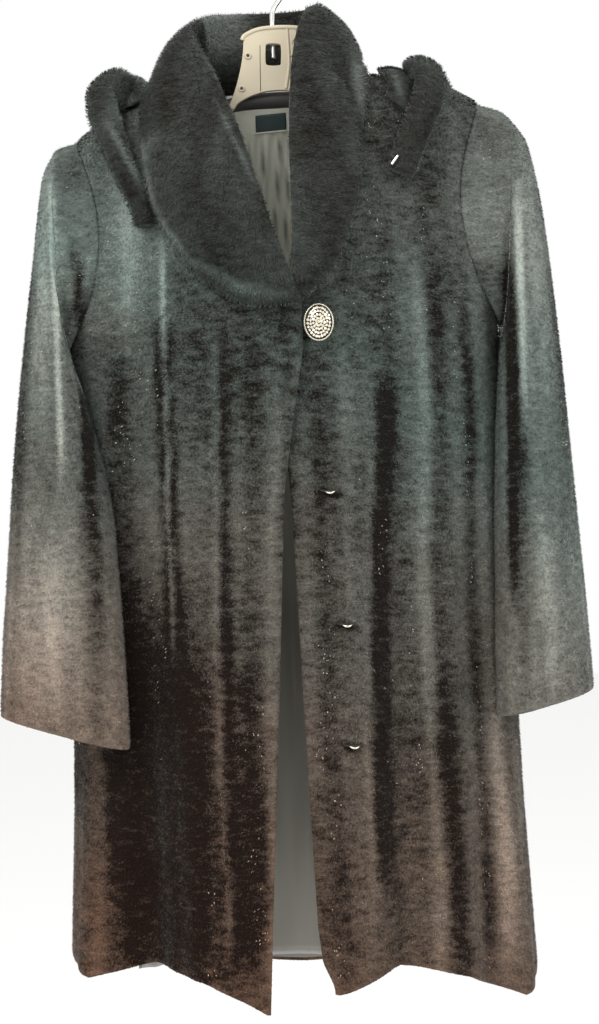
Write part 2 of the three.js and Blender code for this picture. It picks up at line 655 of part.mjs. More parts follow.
// Hood pad: a domed sheet between its inner and outer lines
function hoodGrids() {
  const outer = [];
  const inner = [];
  for (let i = 0; i <= HOOD_ROWS; i += 1) {
    const row = rowAt(HOOD, i / HOOD_ROWS);
    const outerRow = [];
    const innerRow = [];
    for (let j = 0; j <= HOOD_COLUMNS; j += 1) {
      const part = j / HOOD_COLUMNS;
      const angle = row.inAt + (row.outAt - row.inAt) * part;
      const z = row.inZ + (row.outZ - row.inZ) * part;
      const dome = 0.45 + 0.55 * Math.sin(Math.PI * part);
      outerRow.push(pointOut(angle, z, ROUND_SEAT + row.thick * dome, "under"));
      innerRow.push(pointOut(angle, z, ROUND_SEAT, "under"));
    }
    outer.push(outerRow);
    inner.push(innerRow);
  }
  return { outer, inner };
}

// Depth of the lining's outer face behind the back's outer face
function liningDepth(z) {
  const hung = clamp01((LINING.loose - z) / (LINING.loose - LINING.foot));
  return WALL + LINING.gap + LINING.slack * Math.pow(hung, FOLD_RISE);
}

// Lining inside the back, close at the shoulders and hanging clear of the folds below
function liningGrids() {
  const outer = [];
  const inner = [];
  for (const z of LINING_ROWS) {
    const outerRow = [];
    const innerRow = [];
    for (let j = 0; j <= LINING.columns; j += 1) {
      const angle = LINING.from + ((LINING.to - LINING.from) * j) / LINING.columns;
      outerRow.push(pointOut(angle, z, -liningDepth(z), "plain"));
      innerRow.push(pointOut(angle, z, -liningDepth(z) - LINING_WALL, "plain"));
    }
    outer.push(outerRow);
    inner.push(innerRow);
  }
  return { outer, inner };
}

function toManifold(geometry) {
  const bare = geometry.clone();
  bare.deleteAttribute("normal");
  bare.deleteAttribute("uv");
  const merged = mergeVertices(bare);
  const vertProperties = new Float32Array(merged.getAttribute("position").array);
  const triVerts = new Uint32Array(merged.getIndex().array);
  return new wasm.Manifold(new wasm.Mesh({ numProp: 3, vertProperties, triVerts }));
}

function fromManifold(manifold) {
  const mesh = manifold.getMesh();
  const geometry = new THREE.BufferGeometry();
  geometry.setAttribute("position", new THREE.Float32BufferAttribute(mesh.vertProperties, 3));
  geometry.setIndex([...mesh.triVerts]);
  return geometry;
}

// First body less the others
function cutBy(geometry, ...tools) {
  let left = toManifold(geometry);
  for (const tool of tools) {
    left = left.subtract(toManifold(tool));
  }
  return fromManifold(left);
}

// Bodies joined into one
function joined(...geometries) {
  const [first, ...rest] = geometries.map(toManifold);
  return fromManifold(rest.reduce((sum, next) => sum.add(next), first));
}

// Round bar along a path
function bar(points, radius, steps, sides) {
  const profile = new THREE.Shape();
  profile.absarc(0, 0, radius, 0, 2 * Math.PI, false);
  const path = new THREE.CatmullRomCurve3(points);
  return new THREE.ExtrudeGeometry(profile, {
    steps, extrudePath: path, curveSegments: sides / 2, bevelEnabled: false,
  });
}

function material(colour, roughness, metalness) {
  return new THREE.MeshStandardMaterial({ color: colour, roughness, metalness });
}

function piece(name, geometry, surface) {
  const mesh = new THREE.Mesh(geometry, surface);
  mesh.name = name;
  return mesh;
}

// Under side of the shoulder ridge, where the hanger's arm bears
function ridgeUnder(x) {
  const angle = x < 0 ? 180 : 0;
  const heights = [];
  for (let z = RINGS[0].z; z > ARM_RIDGE.foot; z -= ARM_RIDGE.step) {
    heights.push(pointOut(angle, z, -WALL, "under"));
  }
  let best = heights[0];
  for (const point of heights) {
    if (Math.abs(point.x - x) < Math.abs(best.x - x)) {
      best = point;
    }
  }
  return best.z;
}

// Hanger: two arms under the shoulders, their upper edge following the ridge
function hangerArms() {
  const top = [];
  const foot = [];
  for (let i = 0; i <= ARM.steps; i += 1) {
    const x = -ARM.reach + (2 * ARM.reach * i) / ARM.steps;
    const out = Math.abs(x) / ARM.reach;
    const middle = Math.abs(x) < ARM_RIDGE.inner;
    const level = ridgeUnder(Math.sign(x || 1) * ARM_RIDGE.inner) - ARM_RIDGE.innerSag;
    const ridge = middle ? level : ridgeUnder(x);
    const z = ridge - SEAT - ARM.under;
    top.push(new THREE.Vector2(x, z));
    foot.push(new THREE.Vector2(x, z - (ARM.drop + (ARM.tipDrop - ARM.drop) * out)));
  }
  const outline = new THREE.Shape([...top, ...foot.reverse()]);
  const arms = new THREE.ExtrudeGeometry(outline, { depth: ARM.deep, bevelEnabled: false });
  arms.rotateX(Math.PI / 2);
  arms.translate(0, ARM.y + ARM.deep / 2, 0);
  return arms;
}

// Hanger's front plate: waisted, arched below, with a slot for the hook's end
function hangerPlate() {
  const outline = new THREE.Shape();
  outline.moveTo(-40, -88);
  outline.lineTo(37, -81);
  outline.quadraticCurveTo(27, -110, 34, -132);
  outline.quadraticCurveTo(40, -152, 58, -164);
  outline.lineTo(46, -170);
  outline.quadraticCurveTo(9, -128, -36, -172);
  outline.lineTo(-52, -166);
  outline.quadraticCurveTo(-28, -118, -40, -88);
  const slot = [];
  for (let i = 0; i < SLOT.sides; i += 1) {
    const turn = (2 * Math.PI * i) / SLOT.sides;
    slot.push(new THREE.Vector2(SLOT.x + SLOT.wide * Math.cos(turn), SLOT.z + SLOT.high * Math.sin(turn)));
  }
  outline.holes.push(new THREE.Path(slot));
  const depth = PLATE.deep;
  const plate = new THREE.ExtrudeGeometry(outline, { depth, bevelEnabled: false, curveSegments: 8 });
  plate.rotateX(Math.PI / 2);
  const front = ARM.y - ARM.deep / 2 - SEAM;
  plate.translate(0, front, 0);
  const lip = new THREE.BoxGeometry(PLATE.lipWide, PLATE.deep + PLATE.lip, PLATE.lipHigh);
  lip.rotateY(-Math.atan2(PLATE.lipRise, PLATE.lipWide));
  lip.translate(PLATE.lipX, front - (PLATE.deep + PLATE.lip) / 2, PLATE.lipZ);
  return joined(plate, lip);
}

// Hook: shank from the plate up, then round over the rail
function hangerHook() {
  const bend = HOOK_BEND + ROD;
  const y = ARM.y - ARM.deep / 2 + ROD;
  const points = [
    new THREE.Vector3(-1.3, y, SHANK_FOOT),
    new THREE.Vector3(-1.3, y, -96),
    new THREE.Vector3(-1.3, y * 0.8, -76),
    new THREE.Vector3(0, y * 0.3, -60),
    new THREE.Vector3(8, 0, -47),
  ];
  for (let turn = -60; turn <= 200; turn += 20) {
    const angle = turn * DEG;
    points.push(new THREE.Vector3(bend * Math.cos(angle), 0, -HOOK_BEND + bend * Math.sin(angle)));
  }
  return bar(points, ROD, 34, HOOK_SIDES);
}

// Button: an oval metal setting on a shank, and the domed stone in it
function buttonParts() {
  const face = facePoint(angleOfX(BUTTON.x, BUTTON.z), BUTTON.z, "under");
  const back = face.y - WALL - LAP_GAP - BUTTON.stand;
  const setting = new THREE.CylinderGeometry(1, 1, BUTTON.rim, 24);
  setting.scale(BUTTON.wide, 1, BUTTON.high);
  setting.translate(BUTTON.x, back - BUTTON.rim / 2, BUTTON.z);
  const shankLength = face.y - SEAT * 2 - back + 1;
  const shank = new THREE.CylinderGeometry(BUTTON_SHANK, BUTTON_SHANK, shankLength, 10);
  shank.translate(BUTTON.x, back - 1 + shankLength / 2, BUTTON.z);
  const profile = [new THREE.Vector2(0, 0)];
  for (let i = 0; i < DOME_STEPS; i += 1) {
    const turn = (Math.PI / 2) * (i / DOME_STEPS);
    profile.push(new THREE.Vector2(Math.cos(turn), Math.sin(turn)));
  }
  profile.push(new THREE.Vector2(0, 1));
  const stone = new THREE.LatheGeometry(profile, 20);
  stone.scale(BUTTON.wide - BUTTON.border, BUTTON.dome, BUTTON.high - BUTTON.border);
  stone.rotateX(Math.PI);
  stone.translate(BUTTON.x, back - BUTTON.rim - SEAM, BUTTON.z);
  return { setting: joined(setting, shank), stone };
}

// Cord loop from the right front's edge round the button's shank
function buttonLoop() {
  const face = facePoint(angleOfX(BUTTON.x, BUTTON.z), BUTTON.z, "under");
  const y = face.y - CORD - SEAT - LAP_GAP;
  const start = LOOP.start + CORD + SEAM * 2;
  const far = BUTTON.x + BUTTON_SHANK + CORD + SEAM;
  const half = [
    new THREE.Vector3(start, y, LOOP.half),
    new THREE.Vector3(BUTTON.x - LOOP.near, y, LOOP.mid),
    new THREE.Vector3(far - 1, y, LOOP.near),
  ];
  const back = half.map((point) => new THREE.Vector3(point.x, y, -point.z)).reverse();
  const points = [...half, new THREE.Vector3(far + SEAT, y, 0), ...back];
  points.forEach((point) => point.setZ(point.z + BUTTON.z));
  return bar(points, CORD, 14, 6);
}

// Wire eye: a small bow that stands off the pile
function wireEye(spot) {
  const points = [];
  for (let i = 0; i <= 6; i += 1) {
    const part = i / 6;
    const x = spot.x + EYE.half * (2 * part - 1);
    const z = spot.z - EYE.sag * Math.sin(Math.PI * part);
    const angle = angleOfX(x, z);
    const out = EYE.wire + SEAT + EYE.rise * Math.sin(Math.PI * part);
    points.push(pointOut(angle, z, out, "under"));
  }
  return bar(points, EYE.wire, 10, 6);
}

// Small metal hook at the left end of the hood's band, lying on its pile
function hoodHook() {
  const out = HOOD_HOOK.wire + SEAT;
  const points = HOOD_HOOK.places.map((place, i) => bandPoint(place, HOOD_HOOK.turns[i], out));
  return bar(points, HOOD_HOOK.wire, 4, 6);
}

// Label on the lining at the back of the neck, made from the lining's own points
function neckLabel() {
  const outer = [];
  const inner = [];
  for (let i = 0; i <= LABEL_ROWS; i += 1) {
    const z = LABEL.z + LABEL.height * (0.5 - i / LABEL_ROWS);
    const outerRow = [];
    const innerRow = [];
    for (let j = 0; j <= LABEL_COLUMNS; j += 1) {
      const x = LABEL.x + LABEL.width * (j / LABEL_COLUMNS - 0.5);
      const angle = 360 - angleOfX(x, z);
      const depth = liningDepth(z) + LINING_WALL + SEAT * 1.5;
      outerRow.push(pointOut(angle, z, -depth, "plain"));
      innerRow.push(pointOut(angle, z, -depth - LABEL.thick, "plain"));
    }
    outer.push(outerRow);
    inner.push(innerRow);
  }
  return sheetBody(outer, inner, false);
}

const fur = () => material(FUR_COLOUR, 0.85, 0);
const longFur = () => material(COLLAR_COLOUR, 0.8, 0);
const metal = () => material(METAL_COLOUR, 0.3, 1);
const plastic = () => material(HANGER_COLOUR, 0.5, 0);

function furPieces() {
  const right = rightFrontGrids();
  const left = leftFrontGrids();
  const back = backGrids();
  const sleeveRight = sleeveGrids(RIGHT_SLEEVE, -1);
  const sleeveLeft = sleeveGrids(LEFT_SLEEVE, 1);
  const hood = hoodGrids();
  const collarTool = ringBody(collarRings(SEAM));
  const trimTool = ringBody(trimRings(SEAM));
  return [
    piece("front_right", sheetBody(right.outer, right.inner, false), fur()),
    piece("front_left", sheetBody(left.outer, left.inner, false), fur()),
    piece("back", sheetBody(back.outer, back.inner, false), fur()),
    piece("sleeve_right", sheetBody(sleeveRight.outer, sleeveRight.inner, true), fur()),
    piece("sleeve_left", sheetBody(sleeveLeft.outer, sleeveLeft.inner, true), fur()),
    piece("collar", ringBody(collarRings(0)), longFur()),
    piece("hood", cutBy(sheetBody(hood.outer, hood.inner, false), trimTool, collarTool), fur()),
    piece("hood_band", cutBy(ringBody(trimRings(0)), collarTool), longFur()),
  ];
}

function smallPieces() {
  const lining = liningGrids();
  const button = buttonParts();
  return [
    piece("lining_back", sheetBody(lining.outer, lining.inner, false), material(LINING_COLOUR, 0.4, 0)),
    piece("neck_label", neckLabel(), material(LABEL_COLOUR, 0.7, 0)),
    piece("button_setting", button.setting, metal()),
    piece("button_stone", button.stone, material(STONE_COLOUR, 0.08, 0)),
    piece("button_loop", buttonLoop(), material(CORD_COLOUR, 0.8, 0)),
    piece("eye_top", wireEye(EYES[0]), metal()),
    piece("eye_middle", wireEye(EYES[1]), metal()),
    piece("eye_low", wireEye(EYES[2]), metal()),
    piece("hood_hook", hoodHook(), metal()),
    piece("hanger_arms", hangerArms(), plastic()),
    piece("hanger_plate", hangerPlate(), plastic()),
    piece("hanger_hook", hangerHook(), metal()),
  ];
}

const coat = new THREE.Group();
coat.name = "fur_coat";
coat.add(...furPieces(), ...smallPieces());
export default coat;
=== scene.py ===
"""Long sheared-fur coat with a plush shawl collar and a thrown-back hood, on a moulded hanger.

Lengths are millimetres in every function and are turned to metres where a mesh is made.
+Z is up and the coat's front faces -Y. Right and left are the wearer's: right lies towards -X.
"""

import math

import bmesh
import bpy
import numpy as np
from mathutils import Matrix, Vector


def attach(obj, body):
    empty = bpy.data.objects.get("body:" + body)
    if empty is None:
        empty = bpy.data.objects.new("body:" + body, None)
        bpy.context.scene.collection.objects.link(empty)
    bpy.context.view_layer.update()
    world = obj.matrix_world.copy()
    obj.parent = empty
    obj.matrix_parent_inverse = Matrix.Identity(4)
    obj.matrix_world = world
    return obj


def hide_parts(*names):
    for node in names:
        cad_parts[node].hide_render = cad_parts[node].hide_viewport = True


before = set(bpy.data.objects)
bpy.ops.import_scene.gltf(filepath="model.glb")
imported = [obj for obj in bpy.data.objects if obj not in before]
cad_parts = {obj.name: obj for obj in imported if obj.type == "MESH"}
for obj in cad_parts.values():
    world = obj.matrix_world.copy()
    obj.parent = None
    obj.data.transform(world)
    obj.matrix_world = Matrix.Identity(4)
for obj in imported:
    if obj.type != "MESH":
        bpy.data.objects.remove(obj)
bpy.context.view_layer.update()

MM = 0.001
BODY = "root"
LOOSE = 1e-9


def table(names, *rows):
    """Rows of numbers turned into one array for each named column."""
    return {name: np.array(column, float) for name, column in zip(names.split(), zip(*rows))}


# Body: rings from the neck down, long folds, hem heights and the fronts' inner edges
RINGS = table(
    "z wide front back",
    (-133, 86, 62, 62), (-141, 118, 68, 68), (-151, 158, 72, 72), (-161, 188, 75, 74),
    (-174, 209, 77, 77), (-187, 218, 79, 79), (-210, 223, 81, 82), (-247, 225, 84, 86),
    (-290, 225, 89, 89), (-337, 225, 93, 92), (-387, 226, 97, 96), (-487, 230, 105, 103),
    (-587, 231, 112, 110), (-737, 233, 122, 120), (-887, 237, 131, 129), (-1090, 247, 141, 139),
)
FOLDS = table(
    "top hem before after out start",
    (205, 208, 14, 12, 13, -760), (224, 231, 12, 9, -17, -285), (237, 245.5, 6, 13, 13, -285),
    (262, 257, 8, 12, -5, -560), (285, 283, 10, 9, 9, -420), (301, 297, 9, 9, -16, -330),
    (315, 311, 9, 8, 11, -420), (326, 322, 7, 7, -9, -560), (338, 334, 9, 14, 13, -740),
    (24, 22, 14, 13, 12, -560), (44, 43, 12, 12, -12, -430), (66, 65, 14, 14, 13, -430),
    (90, 91, 15, 14, -10, -430), (114, 116, 14, 13, 13, -430), (136, 138, 12, 12, -12, -430),
    (156, 159, 13, 13, 12, -560),
)
FOLDS_TOP = -285
FOLD_FOOT = -1085
FOLD_RISE = 0.75
HEM = table(
    "at z",
    (0, -1072), (30, -1078), (60, -1086), (90, -1086), (120, -1080), (150, -1062),
    (180, -1042), (196, -1049), (210, -1054), (230, -1037), (247, -1050), (261, -1082),
    (268, -1082), (273, -1060), (278, -1066), (294, -1043), (312, -1058), (332, -1087),
    (346, -1082), (360, -1072),
)
RIGHT_EDGE = table(
    "z x",
    (-141, -80), (-161, -73), (-190, -62), (-230, -45), (-290, -19), (-345, 10), (-372, 21),
    (-422, 21.3), (-500, 8), (-569, -2.4), (-772, -13.9), (-920, -23), (-1076, -32.6),
)
LEFT_EDGE = table(
    "z x",
    (-141, 80), (-161, 74), (-190, 66), (-230, 55), (-290, 37), (-345, 14), (-372, 0),
    (-422, -8), (-500, -5), (-569, 0.6), (-792, 7.1), (-1000, 13.6), (-1040, 17), (-1066, 27.4),
)
ASKEW = {"rise": 0.065, "none": -520, "full": -300}
ARMHOLE = {"top": -176, "foot": -384, "reach": 33}
LAP = {"from": 247, "full": 261, "ends": 290, "out": 10}
SKIRT_FOOT = -990
NECK_Z = -133
SHOULDER_Z = -141

# Sleeves: outer point, inner point and half depth of each ring from the armhole to the cuff
RIGHT_SLEEVE = table(
    "out_x out_y out_z in_x in_y in_z half",
    (-229, 0, -196, -230, -6, -398, 44), (-244, -5, -219, -224, -22, -414, 43),
    (-252, -12, -265, -214, -38, -436, 39), (-260, -24, -332, -205, -52, -470, 35),
    (-270, -38, -412, -197, -64, -516, 31), (-282, -52, -520, -191, -74, -573, 29),
    (-291, -58, -627, -187, -82, -653, 31), (-298, -64, -710, -183, -90, -736, 35),
    (-302, -68, -786, -181, -94, -818, 39),
)
LEFT_SLEEVE = table(
    "out_x out_y out_z in_x in_y in_z half",
    (234, 4, -171, 232, -2, -379, 44), (257, 4, -196, 228, -14, -396, 48),
    (268, 2, -234, 226, -24, -414, 48), (278, -2, -301, 225, -32, -445, 46),
    (288, -6, -405, 224, -38, -490, 43), (296, -10, -515, 223, -44, -562, 42),
    (302, -14, -607, 221, -50, -640, 44), (308, -16, -700, 219, -58, -725, 48),
    (312, -18, -781, 216, -64, -800, 52),
)

# Collar sections from the right front end round the neck to the left front end
COLLAR = table(
    "ax ay az bx by bz cx cy cz swell",
    (3, -112, -345, 4, -127, -333, 15, -122, -377, 6),
    (-14, -106, -320, -6, -125, -300, -12, -122, -381, 9),
    (-32, -98, -284, -20, -116, -252, -48, -120, -374, 11),
    (-50, -88, -242, -33, -104, -205, -93, -112, -336, 12),
    (-64, -72, -202, -47, -84, -165, -126, -98, -280, 12),
    (-76, -48, -168, -64, -58, -125, -139, -78, -224, 12),
    (-84, -20, -148, -78, -32, -95, -139, -48, -172, 12),
    (-84, 8, -147, -82, -2, -72, -126, -8, -128, 12),
    (-72, 34, -147, -70, 28, -55, -108, 46, -118, 12),
    (-42, 52, -146, -40, 54, -47, -64, 86, -122, 12),
    (0, 57, -146, 0, 63, -45, 0, 100, -124, 12),
    (42, 52, -145, 34, 50, -46, 62, 84, -120, 12),
    (72, 34, -143, 46, 24, -49, 88, 42, -112, 11),
    (84, 6, -141, 42, -6, -54, 92, 0, -112, 10),
    (84, -20, -140, 30, -34, -68, 93, -36, -136, 9),
    (76, -48, -164, 19, -58, -102, 91, -62, -176, 9),
    (64, -70, -198, 13, -80, -152, 88, -82, -218, 9),
    (52, -86, -238, 10, -100, -207, 82, -100, -264, 9),
    (38, -98, -280, 10, -114, -262, 69, -112, -308, 8),
    (27, -106, -318, 10.5, -124, -305, 52, -118, -346, 7),
    (20, -111, -345, 9, -127, -333, 21, -122, -376, 6),
)
COLLAR_SEAT = 4.8
COLLAR_SMALLEST = 13

# Plush band along the hood's edge, and the hood lying on the back
TRIM = table(
    "at z lift half thick",
    (233.5, -284, 0, 12, 10), (232.5, -262, 0, 13, 11), (227.5, -228, 0, 13, 12),
    (224, -200, 2, 15, 13), (219, -179, 6, 17, 14), (208, -162, 10, 17, 15),
    (190, -151, 13, 17, 15), (168, -153, 9, 18, 14), (148, -168, 6, 19, 14),
    (138, -196, 3, 23, 15), (131, -238, 1, 28, 15), (114, -300, 0, 29, 15), (90, -330, 0, 29, 15),
    (66, -300, 0, 29, 15), (49, -238, 1, 28, 15), (43, -200, 3, 24, 14), (33, -167, 3, 20, 13),
    (14, -151, 1, 17, 12), (-4, -149, 0, 18, 11), (-22, -152, 0, 18, 11), (-37, -164, 0, 18, 11),
    (-46, -186, 0, 18, 11), (-52, -216, 0, 17, 11), (-57, -256, 0, 15, 10),
)
HOOD = table(
    "in_at in_z out_at out_z thick",
    (205, -148, 206, -158, 24), (180, -143, 184, -150, 32), (155, -145, 160, -152, 32),
    (130, -148, 136, -175, 28), (110, -149, 119, -245, 22), (90, -149, 90, -297, 22),
    (70, -149, 61, -245, 22), (50, -148, 45, -175, 18), (25, -142, 20, -150, 10),
    (0, -139, 0, -146, 7), (-25, -141, -24, -149, 6), (-46, -150, -43, -163, 6),
    (-58, -174, -52, -196, 5),
)
ROUND_SEAT = 1.9

# Tone of the sheared fur, 0 dark to 1 light: lengths of painted highlight along lit folds and painted shade
# in the creases, then broad patches.
# Both are in the front's x and z; the back takes the front's turned round.
STREAKS = table(
    "x z low_x low_z half tone",
    (-126, -370, -105, -964, 9, -0.34), (-124, -290, -117, -768, 3, 0.5),
    (100, -440, 79, -972, 10, -0.36), (88, -470, 66, -1000, 5, 0.16),
    (-70, -400, -77, -1040, 4, 0.2), (-62, -400, -66, -1040, 6, -0.16),
    (-6, -430, -36, -1070, 5, 0.15), (-30, -420, -52, -1060, 10, -0.12),
    (140, -330, 134, -1070, 7, 0.24), (156, -330, 152, -1070, 9, -0.2),
    (202, -300, 205, -1080, 9, 0.26), (186, -300, 186, -1060, 7, -0.2),
    (-196, -420, -206, -1050, 12, 0.14), (-170, -380, -172, -1040, 11, -0.16),
    (-150, -230, -160, -380, 10, 0.1), (55, -330, 62, -720, 6, 0.12),
    (30, -440, 40, -1060, 8, -0.1),
)
# Sleeves: painted highlights along lit ridges and inner edges, painted shade in the creases and gaps beside
# them.
ARM_STREAKS = table(
    "x z low_x low_z half tone",
    (-237, -215, -227, -560, 4, 0.5), (-213, -280, -198, -560, 5, -0.5),
    (-262, -300, -276, -700, 7, -0.16), (-240, -600, -236, -790, 8, 0.16),
    (243, -250, 241, -520, 4, 0.5), (232, -300, 226, -700, 5, -0.4),
    (276, -300, 290, -640, 8, -0.14), (262, -600, 262, -800, 9, 0.16),
)
# Plush: mostly painted highlights along the lit rims of the collar and band, with some painted shade.
PLUSH_STREAKS = table(
    "x z low_x low_z half tone",
    (-172, -185, -134, -262, 4, 0.5), (-120, -196, -140, -232, 10, 0.3),
    (122, -140, 130, -176, 5, 0.45), (114, -176, 116, -206, 7, 0.4),
    (81, -112, 87, -200, 6, 0.5), (30, -110, 36, -250, 14, -0.2), (-30, -120, -80, -300, 8, 0.12),
    (-63, -160, -20, -268, 3, 0.4), (-150, -150, -172, -200, 16, 0.26),
    (-150, -158, -135, -226, 4, 0.45), (-135, -226, -124, -281, 4, 0.45),
    (-124, -281, -95, -328, 5, 0.45), (-95, -328, -41, -362, 10, 0.4),
    (-41, -362, -6, -370, 22, 0.3),
)
# Creases of the sleeves: a line from (turn, place) to (low_turn, low_place), its half width and
# how far it moves the fur out. turn is 0 at the outer line and 90 in front, place runs 0 to 1 down.
CREASES = table(
    "turn place low_turn low_place half out",
    (62, 0.04, 52, 0.5, 10, 3.5), (112, 0.12, 138, 0.72, 9, -4.5), (28, 0.42, 96, 0.53, 8, -3.5),
    (70, 0.66, 108, 0.97, 9, -3), (84, 0.6, 92, 0.95, 9, 2.5), (246, 0.1, 236, 0.6, 9, -4),
    (300, 0.36, 262, 0.5, 8, -3), (286, 0.62, 276, 0.96, 9, -3),
)
# Broad patches of the body: partly painted light and shade, partly the fur's own uneven tone. The last
# three are painted shade round the eyes.
PATCHES = table(
    "x z wide high tone",
    (-155, -290, 60, 110, 0.3), (98, -185, 24, 66, -0.14), (-110, -560, 90, 120, 0.02),
    (-165, -800, 70, 150, -0.26), (-130, -1000, 90, 80, -0.08), (-40, -430, 60, 100, -0.14),
    (140, -260, 70, 90, 0.0),
    (170, -560, 60, 170, 0.02), (110, -850, 40, 160, -0.1), (215, -960, 40, 90, 0.1),
    (50, -500, 50, 160, -0.1), (-20, -860, 60, 150, -0.04), (70, -360, 40, 60, -0.06),
    (-120, -900, 80, 200, -0.3), (41, -570, 12, 4, -0.4), (54, -703, 12, 4, -0.4),
    (56, -823, 12, 4, -0.4),
)
# Broad patches of the sleeves: partly painted light and shade, partly the fur's own uneven tone.
ARM_PATCHES = table(
    "x z wide high tone",
    (-244, -330, 16, 150, 0.3), (-282, -420, 14, 190, -0.2), (-252, -690, 44, 110, 0.28),
    (-300, -640, 14, 150, -0.16), (-196, -560, 14, 180, -0.2), (-262, -520, 30, 60, -0.04),
    (258, -330, 26, 150, 0.24), (292, -480, 16, 220, -0.06), (270, -690, 46, 120, 0.12),
    (236, -520, 10, 220, -0.22),
)

# Skin and pile: the pile's height over the skin, half the skin's thickness with its lining, the
# width over which a skin's edge rounds off, and the spacing of a skin's points
PILE = 2.4
LONG_PILE = 3.6
SKIN = 1.9
RIM = 3.2
SKIN_STEP = 6.5
NEVER_NEAR = 99.0
SLEEVE_LENGTH = 620
HOOD_LENGTH = 1100
SPACING = {"front": 1.75, "back": 2.9, "sleeve": 2.3, "plush": 2.0}
WRAP = 7
# Share of leaves in the seam bands painted bright as glints.
GLINTS = 0.035

# Lining, label and small parts
LINING = {"top": -126, "from": 37, "to": 143, "slack": 15, "loose": -400, "foot": -1072, "gap": 1.6}
WALL = 9
LABEL = {"x": -7, "z": -163, "width": 34, "height": 18, "out": 2.1}
PLEATS = ((-36, 6, -5), (-21, 5, -8), (-5, 7, -8), (9, 5, -7), (26, 7, -6), (42, 6, -5))
BUTTON = {"x": 35.8, "z": -398.5, "wide": 15.2, "high": 19, "back": -109.7, "shank": 3.5}
RIM_PROFILE = (
    (1.4, 0), (0.5, -0.2), (0.1, -0.7), (0, -1.5), (0, -2.8), (0.15, -3.4), (0.6, -3.9),
    (1.2, -3.9), (1.7, -3.5), (1.9, -2.9),
)
DOME_STEPS = (0, 1, 2.5, 4.5, 7, 9, 11)
BEAD_COUNT = 56
STONE_RINGS = ((0, 1), (0.25, 7), (0.48, 13), (0.71, 19), (0.93, 25))
EYES = {"eye_top": (41.3, -568.2), "eye_middle": (53.6, -701.1), "eye_low": (56.3, -820.9)}
ROD = 2.6
HOOK_BEND = 20
HOOK_Y = -9.4
PLATE = {"y": -15.3, "half": 3, "front": -18.3, "bevel": 0.7}
PLATE_OUTLINE = (
    (-31, -87), (-31.8, -95), (-33, -108), (-35.5, -122), (-39.5, -137), (-45, -153),
    (-50.5, -166), (-45.5, -167), (-40, -160), (-28.7, -153.6), (-14, -148.9), (-0.5, -147.3),
    (11.9, -147.7), (25.3, -151.2), (37.5, -159), (46, -168), (54, -164.5), (44, -153),
    (37.5, -140), (33.6, -119.4), (32, -103.8), (31.7, -86), (23.4, -83), (11, -82), (-1.4, -82),
    (-11.8, -82.8), (-20.1, -84.6),
)
PLATE_SLOT = (
    (-8.8, -104), (-8.2, -99.6), (-4.4, -98.6), (2.6, -98.8), (6.4, -99.8), (7, -104), (6.6, -116),
    (6, -120.4), (2.2, -121.4), (-4.6, -121.2), (-8.6, -120), (-9.3, -116),
)
ARMS = (
    (-172, -4, -189), (-110, -4, -174), (-48, -4, -159), (0, -4, -155), (48, -4, -157),
    (110, -4, -166), (172, -4, -174),
)
BOSSES = ((-27.6, -110.5, 3.6, 1.7), (-35.2, -144.5, 3.4, 1.6), (22, -131, 2.2, 1))
LIP = (
    (-33, -94), (-31.6, -90.4), (-27.5, -87.6), (-20.1, -84.4), (-11.8, -82.6), (-1.4, -81.8),
    (11, -81.8), (23.4, -82.7), (31.6, -85), (33.4, -88),
)


# Surfaces


def at(rows, key, place, column):
    """Value of a table's column at places along its key column, straight between rows."""
    keys, values = rows[key], rows[column]
    if keys[-1] < keys[0]:
        keys, values = keys[::-1], values[::-1]
    return np.interp(place, keys, values)


def eased(start, end, value):
    """0 before start and 1 after end, along t * t * (3 - 2 * t) between."""
    part = np.clip((value - start) / (end - start), 0, 1)
    return part * part * (3 - 2 * part)


def cubic(a, b, slope_a, slope_b, t):
    """Cubic from a to b as t runs from 0 to 1, with the given slopes at its ends."""
    return (
        a * (2 * t**3 - 3 * t**2 + 1) + slope_a * (t**3 - 2 * t**2 + t)
        + b * (3 * t**2 - 2 * t**3) + slope_b * (t**3 - t**2)
    )


def curved(rows, place):
    """Columns of a table at places from 0 to 1, on cubic curves whose slope at each row is half the
    step between its neighbours."""
    last = len(next(iter(rows.values()))) - 1
    spot = np.clip(place, 0, 1) * last
    low = np.minimum(last - 1, np.floor(spot).astype(int))
    t = spot - low
    found = {}
    for name, column in rows.items():
        a, b = column[low], column[low + 1]
        slope_a = (b - column[np.maximum(0, low - 1)]) / 2
        slope_b = (column[np.minimum(last, low + 2)] - a) / 2
        found[name] = cubic(a, b, slope_a, slope_b, t)
    return found


def length_of(vectors):
    """Lengths of vectors, kept as a last column of one."""
    return np.linalg.norm(vectors, axis=-1, keepdims=True)


def unit(vectors):
    """Vectors of length one in the same directions."""
    return vectors / np.maximum(length_of(vectors), LOOSE)


def point(x, y, z):
    """Points from arrays of x, y and z, stretched to one shape."""
    return np.stack(np.broadcast_arrays(x, y, z), axis=-1).astype(float)


def cloud(flat, size, seed):
    """Smooth random field from 0 to 1: random values on a square lattice of that size (across,
    down), blended by eased steps between the lattice's corners."""
    count = 64
    lattice = np.random.default_rng(seed).random((count, count))
    spot = flat / np.array(size, float)
    low = np.floor(spot).astype(int)
    part = spot - low
    part = part * part * (3 - 2 * part)
    i, j = low[..., 0], low[..., 1]
    s, t = part[..., 0], part[..., 1]
    a = lattice[i % count, j % count]
    b = lattice[(i + 1) % count, j % count]
    c = lattice[i % count, (j + 1) % count]
    d = lattice[(i + 1) % count, (j + 1) % count]
    return (a * (1 - s) + b * s) * (1 - t) + (c * (1 - s) + d * s) * t


